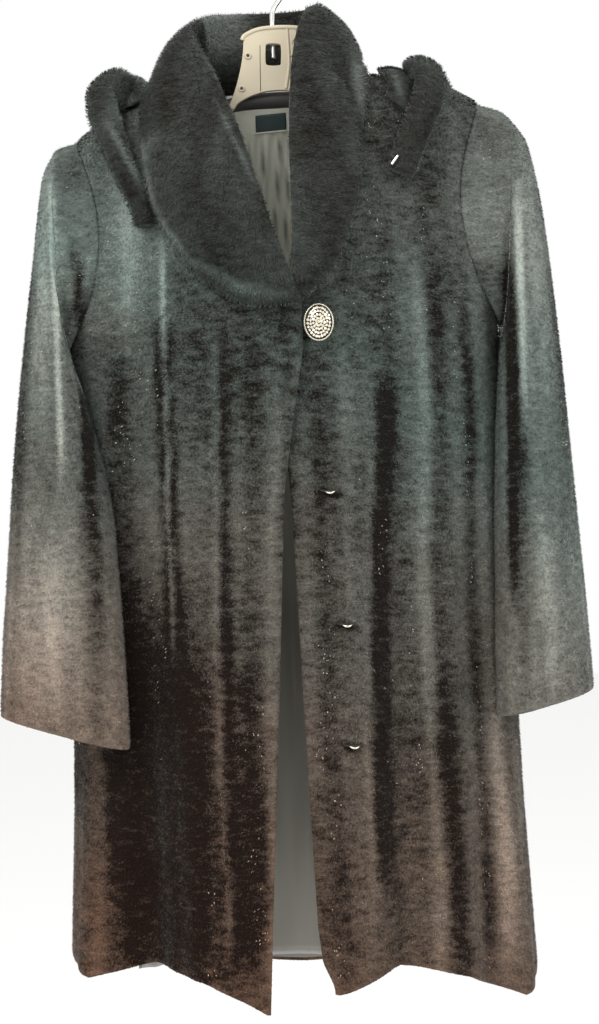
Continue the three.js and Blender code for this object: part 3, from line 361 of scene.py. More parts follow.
def turned(flat, degrees):
    """Flat places turned by an angle, for clouds that lie aslant."""
    turn = math.radians(degrees)
    across = flat[..., 0] * math.cos(turn) + flat[..., 1] * math.sin(turn)
    down = flat[..., 1] * math.cos(turn) - flat[..., 0] * math.sin(turn)
    return np.stack([across, down], axis=-1)


def askew(x, z):
    """Height gained because the coat hangs askew, none below the waist."""
    return ASKEW["rise"] * x * eased(ASKEW["none"], ASKEW["full"], z)


def fold_out(angle, z):
    """How far the long folds move the cloth out: a sum of one-sided cosine humps whose middle
    drifts from the top angle to the hem angle and whose height grows down from its start."""
    turn = np.mod(angle, 360)
    total = 0
    down = np.clip((FOLDS_TOP - z) / (FOLDS_TOP - FOLD_FOOT), 0, 1)
    for top, hem, before, after, out, start in zip(*FOLDS.values()):
        grown = np.clip((start - z) / (start - FOLD_FOOT), 0, 1) ** FOLD_RISE
        away = turn - (top + (hem - top) * down)
        part = np.minimum(np.abs(away) / np.where(away < 0, before, after), 1)
        total = total + out * grown * (0.5 + 0.5 * np.cos(np.pi * part))
    return total


def lap_out(angle):
    """How far the right front is carried over the left one."""
    turn = np.mod(angle, 360)
    return np.where(turn < LAP["ends"], LAP["out"] * eased(LAP["from"], LAP["full"], turn), 0)


def face(angle, z, layer="under"):
    """Point of the coat's outer face: an ellipse of each height, moved out by folds and lap, then
    lifted askew."""
    turn = np.radians(angle)
    wide = at(RINGS, "z", z, "wide")
    deep = np.where(np.sin(turn) < 0, at(RINGS, "z", z, "front"), at(RINGS, "z", z, "back"))
    out = 0 if layer == "plain" else fold_out(angle, z)
    if layer == "over":
        out = out + lap_out(angle)
    nx, ny = np.cos(turn) / wide, np.sin(turn) / deep
    size = np.hypot(nx, ny)
    x = wide * np.cos(turn) + nx / size * out
    y = deep * np.sin(turn) + ny / size * out
    return point(x, y, z + askew(x, z))


def face_normal(angle, z, layer="under"):
    """Direction straight out of the outer face, from the steps round it and up it."""
    turn_step, rise = 1.5, 3
    low = np.minimum(z, NECK_Z - rise)
    around = face(angle + turn_step, z, layer) - face(angle - turn_step, z, layer)
    up = face(angle, low + rise, layer) - face(angle, low - rise, layer)
    return unit(np.cross(around, up))


def out_of_face(angle, z, out, layer="under"):
    """Point at a distance straight out of the outer face."""
    out = np.asarray(out, float)[..., None]
    return face(angle, z, layer) + face_normal(angle, z, layer) * out


def clear_of_body(points, gap, layer):
    """Points moved straight out of the body until they stand a gap from its outer face."""
    moved = points.copy()
    for _ in range(4):
        z = moved[..., 2] - askew(moved[..., 0], moved[..., 2])
        wide = at(RINGS, "z", z, "wide")
        deep = np.where(moved[..., 1] < 0, at(RINGS, "z", z, "front"), at(RINGS, "z", z, "back"))
        angle = np.degrees(np.arctan2(moved[..., 1] / deep, moved[..., 0] / wide))
        normal = face_normal(angle, z, layer)
        away = ((moved - face(angle, z, layer)) * normal).sum(-1)
        push = np.where((away < gap) & (z <= NECK_Z), gap - away, 0)
        moved += normal * push[..., None]
    return moved


def angle_of_x(x, z):
    """Angle of the front at which a line x lies on a ring."""
    return 360 - np.degrees(np.arccos(np.clip(x / at(RINGS, "z", z, "wide"), -1, 1)))


def steps_along(length, step, rim_start, rim_end):
    """Places from 0 to 1 along a length: close together where an end rounds off, even between."""
    near = np.array([0, 0.15, 0.45, 1.0]) * RIM
    start = near if rim_start else np.array([0.0])
    end = length - near[::-1] if rim_end else np.array([float(length)])
    count = max(3, int(round((end[0] - start[-1]) / step)) + 1)
    middle = np.linspace(start[-1], end[0], count)
    return np.concatenate([start[:-1], middle, end[1:]]) / length


def crown(distance):
    """Share of a skin's thickness at a distance from its edge, along a quarter circle."""
    part = np.clip(distance / RIM, 0, 1)
    return np.sqrt(np.maximum(0, 1 - (1 - part) ** 2))


# Meshes


def grid_quads(rows, columns, around, first=0):
    """Corner numbers of a grid's squares; around joins the last column to the first."""
    spans = columns if around else columns - 1
    row, column = np.meshgrid(np.arange(rows - 1), np.arange(spans), indexing="ij")
    right = (column + 1) % columns
    a = row * columns + column
    b = row * columns + right
    return first + np.stack([a, a + columns, b + columns, b], axis=-1).reshape(-1, 4)


def make(name, points, quads, materials, marks=None, smooth=True, normals=None, flat=None):
    """Object of points (mm) and faces of three or four corners, with a material number for each
    face, optional point normals, attributes and a flat map."""
    mesh = bpy.data.meshes.new(name)
    quads = np.asarray(quads)
    count, corners = quads.shape
    mesh.vertices.add(len(points))
    mesh.vertices.foreach_set("co", (np.asarray(points) * MM).astype(np.float32).ravel())
    mesh.loops.add(count * corners)
    mesh.loops.foreach_set("vertex_index", quads.astype(np.int32).ravel())
    mesh.polygons.add(count)
    mesh.polygons.foreach_set("loop_start", np.arange(0, count * corners, corners, dtype=np.int32))
    for surface in materials:
        mesh.materials.append(surface)
    if marks is not None and "surface" in marks:
        mesh.polygons.foreach_set("material_index", marks["surface"].astype(np.int32))
    mesh.polygons.foreach_set("use_smooth", np.full(count, smooth))
    for key, values in (marks or {}).items():
        if key != "surface":
            layer = mesh.attributes.new(key, "FLOAT", "POINT")
            layer.data.foreach_set("value", values.astype(np.float32))
    if flat is not None:
        layer = mesh.uv_layers.new(name="OFBake")
        layer.data.foreach_set("uv", flat[quads.ravel()].astype(np.float32).ravel())
    mesh.update(calc_edges=True)
    mesh.validate()
    if normals is not None:
        mesh.normals_split_custom_set_from_vertices(normals)
    made = bpy.data.objects.new(name, mesh)
    bpy.context.scene.collection.objects.link(made)
    return made


def point_normals(points, quads):
    """Mean direction of the faces round each point."""
    a, b, c, d = (points[quads[:, i]] for i in range(4))
    flat = np.cross(c - a, d - b)
    total = np.zeros_like(points)
    for i in range(4):
        np.add.at(total, quads[:, i], flat)
    return unit(total)


def sharp_edges(half, around=False):
    """Half thickness with none left along the open edges, where a skin's two sides meet."""
    half[[0, -1]] = 0
    if not around:
        half[:, [0, -1]] = 0
    return half


def skin_of(middle, normal, half, around, flat, rims):
    """Closed skin round a middle grid: outer and inner points stand half the thickness to either
    side, and the two meet in one line of points along each open edge. rims gives each grid point's
    distance from the free edges, where the fur turns inside."""
    rows, columns = middle.shape[:2]
    outer = middle + normal * half[..., None]
    inner = middle - normal * half[..., None]
    number = np.arange(rows * columns).reshape(rows, columns)
    open_edge = np.zeros((rows, columns), bool)
    open_edge[[0, -1]] = True
    if not around:
        open_edge[:, [0, -1]] = True
    inside = np.full((rows, columns), -1)
    inside[~open_edge] = rows * columns + np.arange((~open_edge).sum())
    inside[open_edge] = number[open_edge]
    points = np.concatenate([outer.reshape(-1, 3), inner[~open_edge]])
    spread = np.concatenate([flat.reshape(-1, 2), flat[~open_edge]])
    edge = np.concatenate([rims.ravel(), rims[~open_edge]])
    outside = grid_quads(rows, columns, around)
    within = inside.ravel()[outside][:, ::-1]
    quads = np.concatenate([outside, within])
    side = np.repeat([0, 1], [len(outside), len(within)])
    down = np.gradient(middle, axis=0)
    flow = np.concatenate([down.reshape(-1, 3), down[~open_edge]])
    return oriented(points, quads, side, spread, edge, unit(flow))


def oriented(points, quads, side, flat, edge, flow):
    """A closed skin's parts, with the faces turned so that they look out."""
    a, b, c, d = (points[quads[:, i]] for i in range(4))
    volume = (a * np.cross(b, c)).sum() + (a * np.cross(c, d)).sum()
    if volume < 0:
        quads = quads[:, ::-1]
    return {
        "points": points, "quads": quads, "side": side, "flat": flat, "edge": edge,
        "flow": flow, "normals": point_normals(points, quads),
    }


def ring_skin(rings, flow_across=None):
    """Closed skin through rings (rows, around), its two ends drawn together to a point. The nap
    runs along the rings' rows, or across them where flow_across gives its directions."""
    rows, around = rings.shape[:2]
    points = np.concatenate([rings.reshape(-1, 3), rings[0].mean(0)[None], rings[-1].mean(0)[None]])
    quads = grid_quads(rows, around, True)
    along = np.arange(0, around, 2)
    ends = []
    for start, middle in ((0, rows * around), ((rows - 1) * around, rows * around + 1)):
        a, b, c = start + along, start + (along + 1) % around, start + (along + 2) % around
        fan = np.stack([np.full_like(a, middle), a, b, c], axis=-1)
        ends.append(fan if start == 0 else fan[:, ::-1])
    quads = np.concatenate([quads, *ends])
    step = length_of(np.diff(rings, axis=0)).mean((1, 2))
    down = np.concatenate([[0], np.cumsum(step)])
    across = np.linspace(0, length_of(np.diff(rings[rows // 2], axis=0)).sum(), around)
    flat = point(across[None, :], down[:, None], 0)[..., :2].reshape(-1, 2)
    flat = np.concatenate([flat, flat[[0, -1]]])
    flow = np.gradient(rings, axis=0) if flow_across is None else flow_across
    flow = np.concatenate([flow.reshape(-1, 3), flow[0].mean(0)[None], flow[-1].mean(0)[None]])
    edge = np.full(len(points), NEVER_NEAR)
    side = np.zeros(len(quads), int)
    return oriented(points, quads, side, flat, edge, unit(flow))


def pile_on(name, skin, keep, spacing, look, surface):
    """Fur as small folded leaves: each stands on a random place of the skin's squares, evenly
    thick over the surface, and leans along the nap. look(flat, places, draw) gives height, lean
    from upright, swing of the nap, width and shade of each leaf."""
    draw = np.random.default_rng(len(name) * 131 + int(spacing * 100))
    quads = skin["quads"][keep]
    a, b, c, d = (skin["points"][quads[:, i]] for i in range(4))
    area = length_of(np.cross(c - a, d - b))[:, 0] / 2
    number = np.floor(area / spacing**2 + draw.random(len(area))).astype(int)
    cell = np.repeat(np.arange(len(quads)), number)
    s, t = draw.random((2, len(cell), 1))
    weights = np.stack([(1 - s) * (1 - t), (1 - s) * t, s * t, s * (1 - t)])
    mixed = {
        key: sum(weights[i] * skin[key][quads[cell, i]] for i in range(4))
        for key in ("points", "normals", "flat", "flow")
    }
    root, normal = mixed["points"], unit(mixed["normals"])
    flow = mixed["flow"] - normal * (mixed["flow"] * normal).sum(-1, keepdims=True)
    flow = unit(flow)
    free = skin["edge"][quads[cell]].mean(1)
    blade = look(mixed["flat"], root, draw)
    blade["height"] = blade["height"] * (0.45 + 0.55 * eased(2, 12, free))
    swing, lean = blade["swing"][:, None], blade["lean"][:, None]
    side = np.cross(normal, flow)
    along = flow * np.cos(swing) + side * np.sin(swing)
    across = unit(np.cross(along, normal))
    way = normal * np.cos(lean) + along * np.sin(lean)
    tall = blade["height"][:, None] / np.maximum(np.cos(lean), 0.35)
    wide = blade["width"][:, None]
    back = np.cross(across, way)
    heel = root - normal * 0.4
    tip = heel + way * tall
    waist = heel + way * tall * 0.42
    left = waist - across * wide - back * wide * 0.45
    right = waist + across * wide - back * wide * 0.45
    points = np.stack([heel, left, tip, right], axis=1).reshape(-1, 3)
    first = np.arange(len(cell))[:, None] * 4
    faces = np.concatenate([first + [0, 2, 1], first + [0, 3, 2]])
    rough = (draw.random((len(cell), 3)) - 0.5) * blade["ruffle"][:, None]
    base = unit(normal + rough)
    bend = unit(base * 0.8 + way * 0.5)
    shown = np.stack([base, unit(base - across * 0.55), bend, unit(base + across * 0.55)], axis=1)
    marks = {
        "tip": np.tile([0.0, 0.55, 1.0, 0.55], len(cell)),
        "shade": np.repeat(blade["shade"], 4),
    }
    corners = np.tile([[0, 0], [-1, 1], [0, 3], [1, 1]], (len(cell), 1))
    spread = np.repeat(mixed["flat"], 4, axis=0) + corners
    low, high = skin["flat"].min(0) - 4, skin["flat"].max(0) + 4
    spread = (spread - low) / (high - low).max()
    return make(name, points, faces, [surface], marks, True, shown.reshape(-1, 3), spread)


# Finishes


class Finish:
    """A Principled material and short ways to add to it."""

    def __init__(self, name, **values):
        self.material = bpy.data.materials.new(name)
        self.material.use_nodes = True
        self.nodes = self.material.node_tree.nodes
        self.links = self.material.node_tree.links
        self.shader = self.nodes["Principled BSDF"]
        for key, value in values.items():
            self.shader.inputs[key.replace("_", " ")].default_value = value

    def node(self, kind, settings=None, **inputs):
        """A node with settings. Each input is a value or another node's output, under its name
        or, after a low line, its number."""
        made = self.nodes.new(kind)
        for key, value in (settings or {}).items():
            setattr(made, key, value)
        for key, value in inputs.items():
            key = int(key[1:]) if key[1:].isdigit() else key.replace("_", " ")
            socket = made.inputs[key]
            if isinstance(value, bpy.types.NodeSocket):
                self.links.new(value, socket)
            else:
                socket.default_value = value
        return made

    def places(self):
        return self.node("ShaderNodeTexCoord").outputs["Object"]

    def stretched(self, places, scale, turn=(0, 0, 0)):
        return self.node("ShaderNodeMapping", Vector=places, Scale=scale, Rotation=turn).outputs[0]

    def noise(self, places, scale, detail=2.0, roughness=0.5):
        settings = {"Scale": scale, "Detail": detail, "Roughness": roughness}
        return self.node("ShaderNodeTexNoise", Vector=places, **settings).outputs["Fac"]

    def ramp(self, factor, *stops):
        """Colour at a factor, through stops of (place, colour)."""
        made = self.node("ShaderNodeValToRGB", Fac=factor)
        band = made.color_ramp.elements
        while len(band) < len(stops):
            band.new(0.5)
        for element, (place, colour) in zip(band, stops):
            element.position = place
            element.color = (*colour, 1)
        return made.outputs["Color"]

    def mix(self, factor, a, b, blend="MIX"):
        made = self.node("ShaderNodeMix", {"data_type": "RGBA", "blend_type": blend})
        for socket, value in ((made.inputs[0], factor), (made.inputs[6], a), (made.inputs[7], b)):
            if isinstance(value, bpy.types.NodeSocket):
                self.links.new(value, socket)
            elif isinstance(value, tuple):
                socket.default_value = (*value, 1)
            else:
                socket.default_value = value
        return made.outputs[2]

    def sums(self, how, a, b):
        return self.node("ShaderNodeMath", {"operation": how}, _0=a, _1=b).outputs[0]

    def mark(self, name):
        return self.node("ShaderNodeAttribute", {"attribute_name": name}).outputs["Fac"]

    def colour(self, value):
        self.links.new(value, self.shader.inputs["Base Color"])

    def roughness(self, value):
        self.links.new(value, self.shader.inputs["Roughness"])

    def bump(self, height, strength, distance):
        made = self.node("ShaderNodeBump", Height=height, Strength=strength, Distance=distance)
        self.links.new(made.outputs[0], self.shader.inputs["Normal"])


def fur_colours(fur, shade, lowest, highest, cast_tints):
    """Colour of fur: brightness by its shade, ruffled by noise, and a painted colour cast of the
    light that turns from teal grey high on the coat and on its left to warm brown low down."""
    places = fur.places()
    ripple = fur.noise(fur.stretched(places, (75, 75, 170), (0, 0.35, 0)), 1.0, 3.0, 0.6)
    grain = fur.noise(places, 420.0, 2.0)
    ruffled = fur.sums("ADD", shade, fur.sums("MULTIPLY", fur.sums("SUBTRACT", ripple, 0.5), 0.5))
    ruffled = fur.sums("ADD", ruffled, fur.sums("MULTIPLY", fur.sums("SUBTRACT", grain, 0.5), 0.35))
    middle = (lowest + highest) * 0.36
    deep = (lowest * 1.5, lowest * 0.9, lowest * 0.65)
    light = fur.ramp(ruffled, (0.04, deep), (0.5, (middle,) * 3), (1.0, (highest,) * 3))
    dot = {"operation": "DOT_PRODUCT"}
    slope = fur.node("ShaderNodeVectorMath", dot, _0=places, _1=(0.42, 0.0, 1.0))
    drift = fur.noise(places, 6.0, 2.0)
    height = fur.sums("ADD", slope.outputs["Value"], fur.sums("MULTIPLY", drift, 0.3))
    cast_tint = fur.ramp(fur.sums("ADD", height, 0.95), *cast_tints)
    fur.ripple = ripple
    return fur.mix(1.0, light, cast_tint, "MULTIPLY")


# Painted colour cast of the light on the fur: warm brown low down, teal grey higher up.
CAST_TINTS = (
    (0.0, (1.34, 0.76, 0.5)), (0.26, (1.16, 0.9, 0.72)), (0.5, (1.0, 1.02, 0.9)),
    (0.68, (0.84, 1.06, 0.96)), (0.88, (0.95, 1.03, 0.93)),
)


def fur_finish(name, lowest, highest, sheen, depth):
    """Pile, darker at its roots, with a soft sheen."""
    fur = Finish(
        name, Roughness=0.6, Specular_IOR_Level=0.14, Sheen_Weight=sheen, Sheen_Roughness=0.4,
        Sheen_Tint=(0.85, 0.95, 0.9, 1),
    )
    body = fur_colours(fur, fur.mark("shade"), lowest, highest, CAST_TINTS)
    root = fur.ramp(fur.mark("tip"), (0.0, (0.5, 0.5, 0.5)), (0.8, (1.05, 1.05, 1.05)))
    fur.colour(fur.mix(1.0, body, root, "MULTIPLY"))
    fur.bump(fur.ripple, depth, 0.012)
    return fur.material


def hide_finish(name, lowest, highest, sheen, depth):
    """Dense underfur between the leaves, coloured as the pile, painted light and shade included."""
    hide = Finish(
        name, Roughness=0.75, Specular_IOR_Level=0.08, Sheen_Weight=sheen, Sheen_Roughness=0.45,
        Sheen_Tint=(0.85, 0.95, 0.9, 1),
    )
    hide.colour(fur_colours(hide, hide.mark("shade"), lowest * 0.8, highest * 0.8, CAST_TINTS))
    hide.bump(hide.ripple, depth, 0.012)
    return hide.material


def satin_finish(name, low, high):
    """Satin lining: fine twill lines under a soft gloss, with slow changes of tone, paler near the
    neck as painted light, and darker along marked pleat lines as painted shade."""
    satin = Finish(name, Roughness=0.4, Specular_IOR_Level=0.5, Sheen_Weight=0.6, Sheen_Roughness=0.4)
    places = satin.places()
    slanted = {"bands_direction": "DIAGONAL"}
    twill = satin.node("ShaderNodeTexWave", slanted, Vector=places, Scale=900.0, Distortion=0.5)
    height = satin.node("ShaderNodeSeparateXYZ", Vector=places).outputs["Z"]
    # Paler towards the neck: painted light on the upper lining.
    rise = satin.ramp(satin.sums("ADD", height, 1.0), (0.3, (0, 0, 0)), (0.8, (1, 1, 1)))
    slow = satin.noise(satin.stretched(places, (14, 14, 3)), 1.0, 2.0)
    tone = satin.ramp(slow, (0.3, (0.8, 0.8, 0.8)), (0.7, (1.02, 1.02, 1.02)))
    # Darker where the pleat mark is set: painted shade along the pleats.
    creased = satin.ramp(satin.mark("pleat_shade"), (0.0, (1, 1, 1)), (1.0, (0.25, 0.26, 0.25)))
    toned = satin.mix(1.0, satin.mix(rise, low, high), tone, "MULTIPLY")
    satin.colour(satin.mix(1.0, toned, creased, "MULTIPLY"))
    satin.bump(twill.outputs["Fac"], 0.12, 0.0004)
    return satin.material


def moulded_finish(name, colour):
    """Moulded plastic: faint grain and slightly uneven gloss."""
    moulded = Finish(name, Specular_IOR_Level=0.45)
    places = moulded.places()
    grain = moulded.noise(places, 700.0, 2.0)
    wear = moulded.noise(places, 30.0, 3.0)
    worn, clean = (tuple(c * share for c in colour) for share in (0.86, 1.08))
    moulded.colour(moulded.mix(wear, worn, clean))
    moulded.roughness(moulded.sums("MULTIPLY_ADD", wear, 0.2))
    moulded.bump(grain, 0.08, 0.0004)
    return moulded.material


def metal_finish(name, colour, roughness):
    """Plain metal with fine brushed unevenness in its gloss."""
    metal = Finish(name, Metallic=1.0)
    places = metal.places()
    grain = metal.noise(places, 420.0, 3.0)
    metal.colour(metal.mix(grain, tuple(c * 0.82 for c in colour), colour))
    uneven = metal.ramp(grain, (0.2, (roughness * 0.7,) * 3), (0.8, (roughness * 1.4,) * 3))
    metal.roughness(uneven)
    return metal.material


SHEARED = fur_finish("sheared_pile", 0.006, 0.46, 0.16, 0.55)
PLUSH = fur_finish("plush_pile", 0.006, 0.2, 0.36, 0.25)
HIDE = hide_finish("under_pile", 0.006, 0.46, 0.1, 0.55)
DARK_HIDE = hide_finish("dark_under_pile", 0.006, 0.18, 0.2, 0.25)
# Satin: its pale colour, used near the neck, stands as painted light.
SATIN = satin_finish("grey_satin", (0.21, 0.2, 0.17), (0.97, 0.98, 0.86))
PLASTIC = moulded_finish("moulded_plastic", (0.57, 0.5, 0.37))
# Near black plastic as painted shade: in the bosses' holes, along the mould seam, on the arms.
SHADE_PLASTIC = moulded_finish("painted_shade_plastic", (0.03, 0.028, 0.026))
# Near black as painted shade in gaps: between the button's stones and in the slits under the eyes.
GAP_SHADE = moulded_finish("painted_gap_shade", (0.012, 0.011, 0.01))
CORD = moulded_finish("loop_cord", (0.16, 0.19, 0.2))
LABEL_CLOTH = moulded_finish("label_cloth", (0.045, 0.075, 0.075))
THREAD = moulded_finish("label_hem", (0.8, 0.8, 0.7))
CRYSTAL = metal_finish("champagne_crystal", (0.98, 0.91, 0.77), 0.1)
WIRE = metal_finish("hook_wire", (0.74, 0.72, 0.68), 0.28)
PALE_METAL = metal_finish("pale_metal", (0.78, 0.72, 0.6), 0.22)


def from_skin(name, skin, surface, marks=None, smooth=True):
    """Object of a closed skin in one material."""
    return make(name, skin["points"], skin["quads"], [surface], marks, smooth)


def finished(made, slot, *nodes):
    """Rides on the coat's one body and stands for CAD nodes. slot is not used."""
    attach(made, BODY)
    if nodes:
        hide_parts(*nodes)
    return made


# Fur pieces


def bump_of(distance):
    """Bell that falls from 1 to 0 at a distance of 1."""
    return (1 - np.clip(distance, 0, 1) ** 2) ** 2


def streaked(x, z, rows):
    """Tone of listed lines of painted light and shade: a bell across each line, eased in and out
    at its ends.
    """
    total = 0
    for x0, z0, x1, z1, half, lift in zip(*rows.values()):
        part = np.clip((z0 - z) / (z0 - z1), 0, 1)
        soft = min(60, (z0 - z1) / 3)
        ends = eased(z0 + 10, z0 - soft, z) * (1 - eased(z1 + soft, z1 - 10, z))
        total = total + lift * ends * bump_of(np.abs(x - x0 - (x1 - x0) * part) / half / 1.6)
    return total


def tone_of(places, flat, arm):
    """Shade of the sheared fur: long bands, listed streaks and patches, largely painted light and
    shade, and fine ripples.
    """
    x = np.where(places[:, 1] < 0, places[:, 0], -places[:, 0])
    if arm:
        x = places[:, 0]
    z = places[:, 2]
    # The sleeves start lighter than the body, partly as painted light.
    tone = (0.38 if arm else 0.27) + 0.16 * (cloud(flat, (15, 330), 5) - 0.5)
    tone = tone + 0.16 * (cloud(flat, (34, 120), 6) - 0.5)
    wander = 8 * (cloud(flat, (400, 160), 7) - 0.5)
    tone = tone + streaked(x - wander, z, ARM_STREAKS if arm else STREAKS)
    for x0, z0, wide, high, lift in zip(*(ARM_PATCHES if arm else PATCHES).values()):
        tone = tone + lift * bump_of(np.hypot((x - x0) / wide, (z - z0) / high) / 1.5)
    ripple = 0.55 * cloud(turned(flat, 14), (13, 5), 3) + 0.45 * cloud(turned(flat, -18), (9, 3.6), 4)
    return tone, ripple


def sheared_look(flat, places, draw, arm=False):
    """Short pile: slanting ripples and long vertical bands in shade and lean, with a few hairs
    painted bright as glints where the skins are joined."""
    count = len(flat)
    tone, ripple = tone_of(places, flat, arm)
    patch = cloud(flat, (60, 45), 16)
    bands = cloud(flat, (12, 400), 17) > 0.7
    glint = bands & (draw.random(count) < GLINTS) & (cloud(flat, (14, 40), 18) > 0.55)
    shade = tone + 0.34 * (ripple - 0.5) + 0.3 * (draw.random(count) - 0.5)
    return {
        "height": PILE * (0.6 + 0.36 * ripple + 0.1 * draw.random(count)),
        "lean": np.radians(40 + 20 * (1 - ripple) + 16 * (draw.random(count) - 0.5)),
        "swing": np.radians(70 * (patch - 0.5) + 70 * (draw.random(count) - 0.5)),
        "width": 0.42 + 0.25 * draw.random(count),
        "shade": np.where(glint, 1.6, np.clip(shade, 0.02, 1)),
        "ruffle": np.full(count, 0.5),
    }


def arm_look(flat, places, draw):
    """Short pile of the sleeves, with their own streaks and patches."""
    return sheared_look(flat, places, draw, True)


def plush_tone(flat, places):
    """Shade of the plush: broad soft changes, listed lines of painted highlight and shade in front,
    and a bell of painted light inside the collar behind the neck."""
    lines = streaked(places[:, 0], places[:, 2], PLUSH_STREAKS)
    inside = 1.1 * bump_of(np.hypot((places[:, 0] + 66) / 60, (places[:, 2] + 66) / 62))
    lit = np.where(places[:, 1] < 20, lines, inside)
    return 0.23 + 0.3 * (cloud(flat, (34, 46), 8) - 0.5) + lit


def plush_look(flat, places, draw):
    """Dense dark plush: even, with soft broad changes."""
    count = len(flat)
    broad = cloud(flat, (34, 46), 8)
    fine = cloud(flat, (7, 9), 9)
    tone = plush_tone(flat, places) + 0.16 * (fine - 0.5)
    return {
        "height": LONG_PILE * (0.75 + 0.25 * fine + 0.12 * draw.random(count)),
        "lean": np.radians(34 + 18 * broad + 16 * (draw.random(count) - 0.5)),
        "swing": np.radians(50 * (broad - 0.5) + 70 * (draw.random(count) - 0.5)),
        "width": 0.4 + 0.25 * draw.random(count),
        "shade": np.clip(tone + 0.25 * (draw.random(count) - 0.5), 0, 1),
        "ruffle": np.full(count, 0.3),
    }


def fur_piece(node, skin, look, spacing, slot, hides, pile):
    """Skin and pile of one piece: pile on the outer side and round the free edges, the second of hides
    inside.
    """
    furred = (skin["side"] == 0) | (skin["edge"][skin["quads"]].max(1) < WRAP)
    low, high = skin["flat"].min(0), skin["flat"].max(0)
    flat = (skin["flat"] - low) / (high - low).max()
    if look is plush_look:
        shade = plush_tone(skin["flat"], skin["points"])
    else:
        tone, ripple = tone_of(skin["points"], skin["flat"], look is arm_look)
        shade = tone + 0.2 * (ripple - 0.5)
    marks = {"surface": np.where(furred, 0, 1), "shade": np.clip(shade, 0, 1)}
    body = make(f"{node}_skin", skin["points"], skin["quads"], hides, marks, flat=flat)
    finished(body, slot, node)
    fur = pile_on(f"{node}_pile", skin, furred, spacing, look, pile)
    finished(fur, slot)
    return body, fur


def panel(top, start_of, end_of, width, layer, rims):
    """Skin of a body panel: columns between two angles, rows from the top to the hem."""
    tall = top - SKIRT_FOOT
    strip = 80
    down = steps_along(tall + strip, SKIN_STEP, False, True) * (tall + strip)
    across = steps_along(width, SKIN_STEP, rims[0], rims[1])
    z = top - np.minimum(down, tall)
    part = np.clip((down - tall) / strip, 0, 1)
    start, end = start_of(z, part), end_of(z, part)
    angle = start[:, None] + (end - start)[:, None] * across[None, :]
    hem = at(HEM, "at", np.mod(angle, 360), "z") + PILE * 0.8
    height = z[:, None] + (hem - z[:, None]) * part[:, None]
    middle = out_of_face(angle, height, np.full(angle.shape, -PILE - SKIN), layer)
    normal = face_normal(angle, height, layer)
    from_start = across * width
    from_end = width - from_start
    from_hem = (tall + strip) - down
    half = SKIN * np.repeat(crown(from_hem)[:, None], len(across), axis=1)
    free = np.repeat(from_hem[:, None], len(across), axis=1)
    for wanted, away in ((rims[0], from_start), (rims[1], from_end)):
        half = np.minimum(half, SKIN * crown(away)[None, :]) if wanted else half
        free = np.minimum(free, away[None, :]) if wanted else free
    flat = point(np.radians(angle) * 210, -height, 0)[..., :2]
    return skin_of(middle, normal, sharp_edges(half), False, flat, free)


def armhole_reach(z):
    """Degrees from the side line to the armhole's edge, an oval in height."""
    middle = (ARMHOLE["top"] + ARMHOLE["foot"]) / 2
    half = (ARMHOLE["top"] - ARMHOLE["foot"]) / 2
    return ARMHOLE["reach"] * np.sqrt(np.clip(1 - ((z - middle) / half) ** 2, 0, 1))


def front_edge(rows, z, part, inset):
    """Angle of a front's inner edge, drawn back by the pile that stands out of it."""
    low = z + (at(HEM, "at", 270, "z") - z) * part
    return angle_of_x(at(rows, "z", low, "x") + inset, low)


def front_right():
    """Panel from the right armhole to the right inner edge, over the lap."""
    return panel(
        SHOULDER_Z, lambda z, part: 180 + armhole_reach(z),
        lambda z, part: front_edge(RIGHT_EDGE, z, part, -PILE * 0.7), 290, "over", (False, True),
    )


def front_left():
    """Panel from the left inner edge to the left armhole, under the lap."""
    return panel(
        SHOULDER_Z, lambda z, part: front_edge(LEFT_EDGE, z, part, PILE * 0.7),
        lambda z, part: 360 - armhole_reach(z), 290, "under", (True, False),
    )


def coat_back():
    """Panel from armhole to armhole round the back."""
    return panel(
        NECK_Z, lambda z, part: armhole_reach(z), lambda z, part: 180 - armhole_reach(z),
        560, "under", (False, False),
    )


def creased(turn, place):
    """How far the creases move a sleeve's fur out: along each line a bell across it, eased in and
    out at its two ends."""
    total = np.zeros((len(place), len(turn)))
    for turn0, place0, turn1, place1, half, out in zip(*CREASES.values()):
        along = np.array([(turn1 - turn0) * 1.5, (place1 - place0) * SLEEVE_LENGTH])
        across = np.mod(turn - turn0 + 180, 360)[None, :] - 180
        down = (place - place0)[:, None] * SLEEVE_LENGTH
        gap = np.stack(np.broadcast_arrays(across * 1.5, down), axis=-1)
        part = (gap @ along) / (along @ along)
        away = np.abs(gap[..., 0] * along[1] - gap[..., 1] * along[0]) / math.hypot(*along)
        ends = eased(-0.1, 0.25, part) * (1 - eased(0.75, 1.1, part))
        total += out * bump_of(away / half / 1.6) * ends
    return total


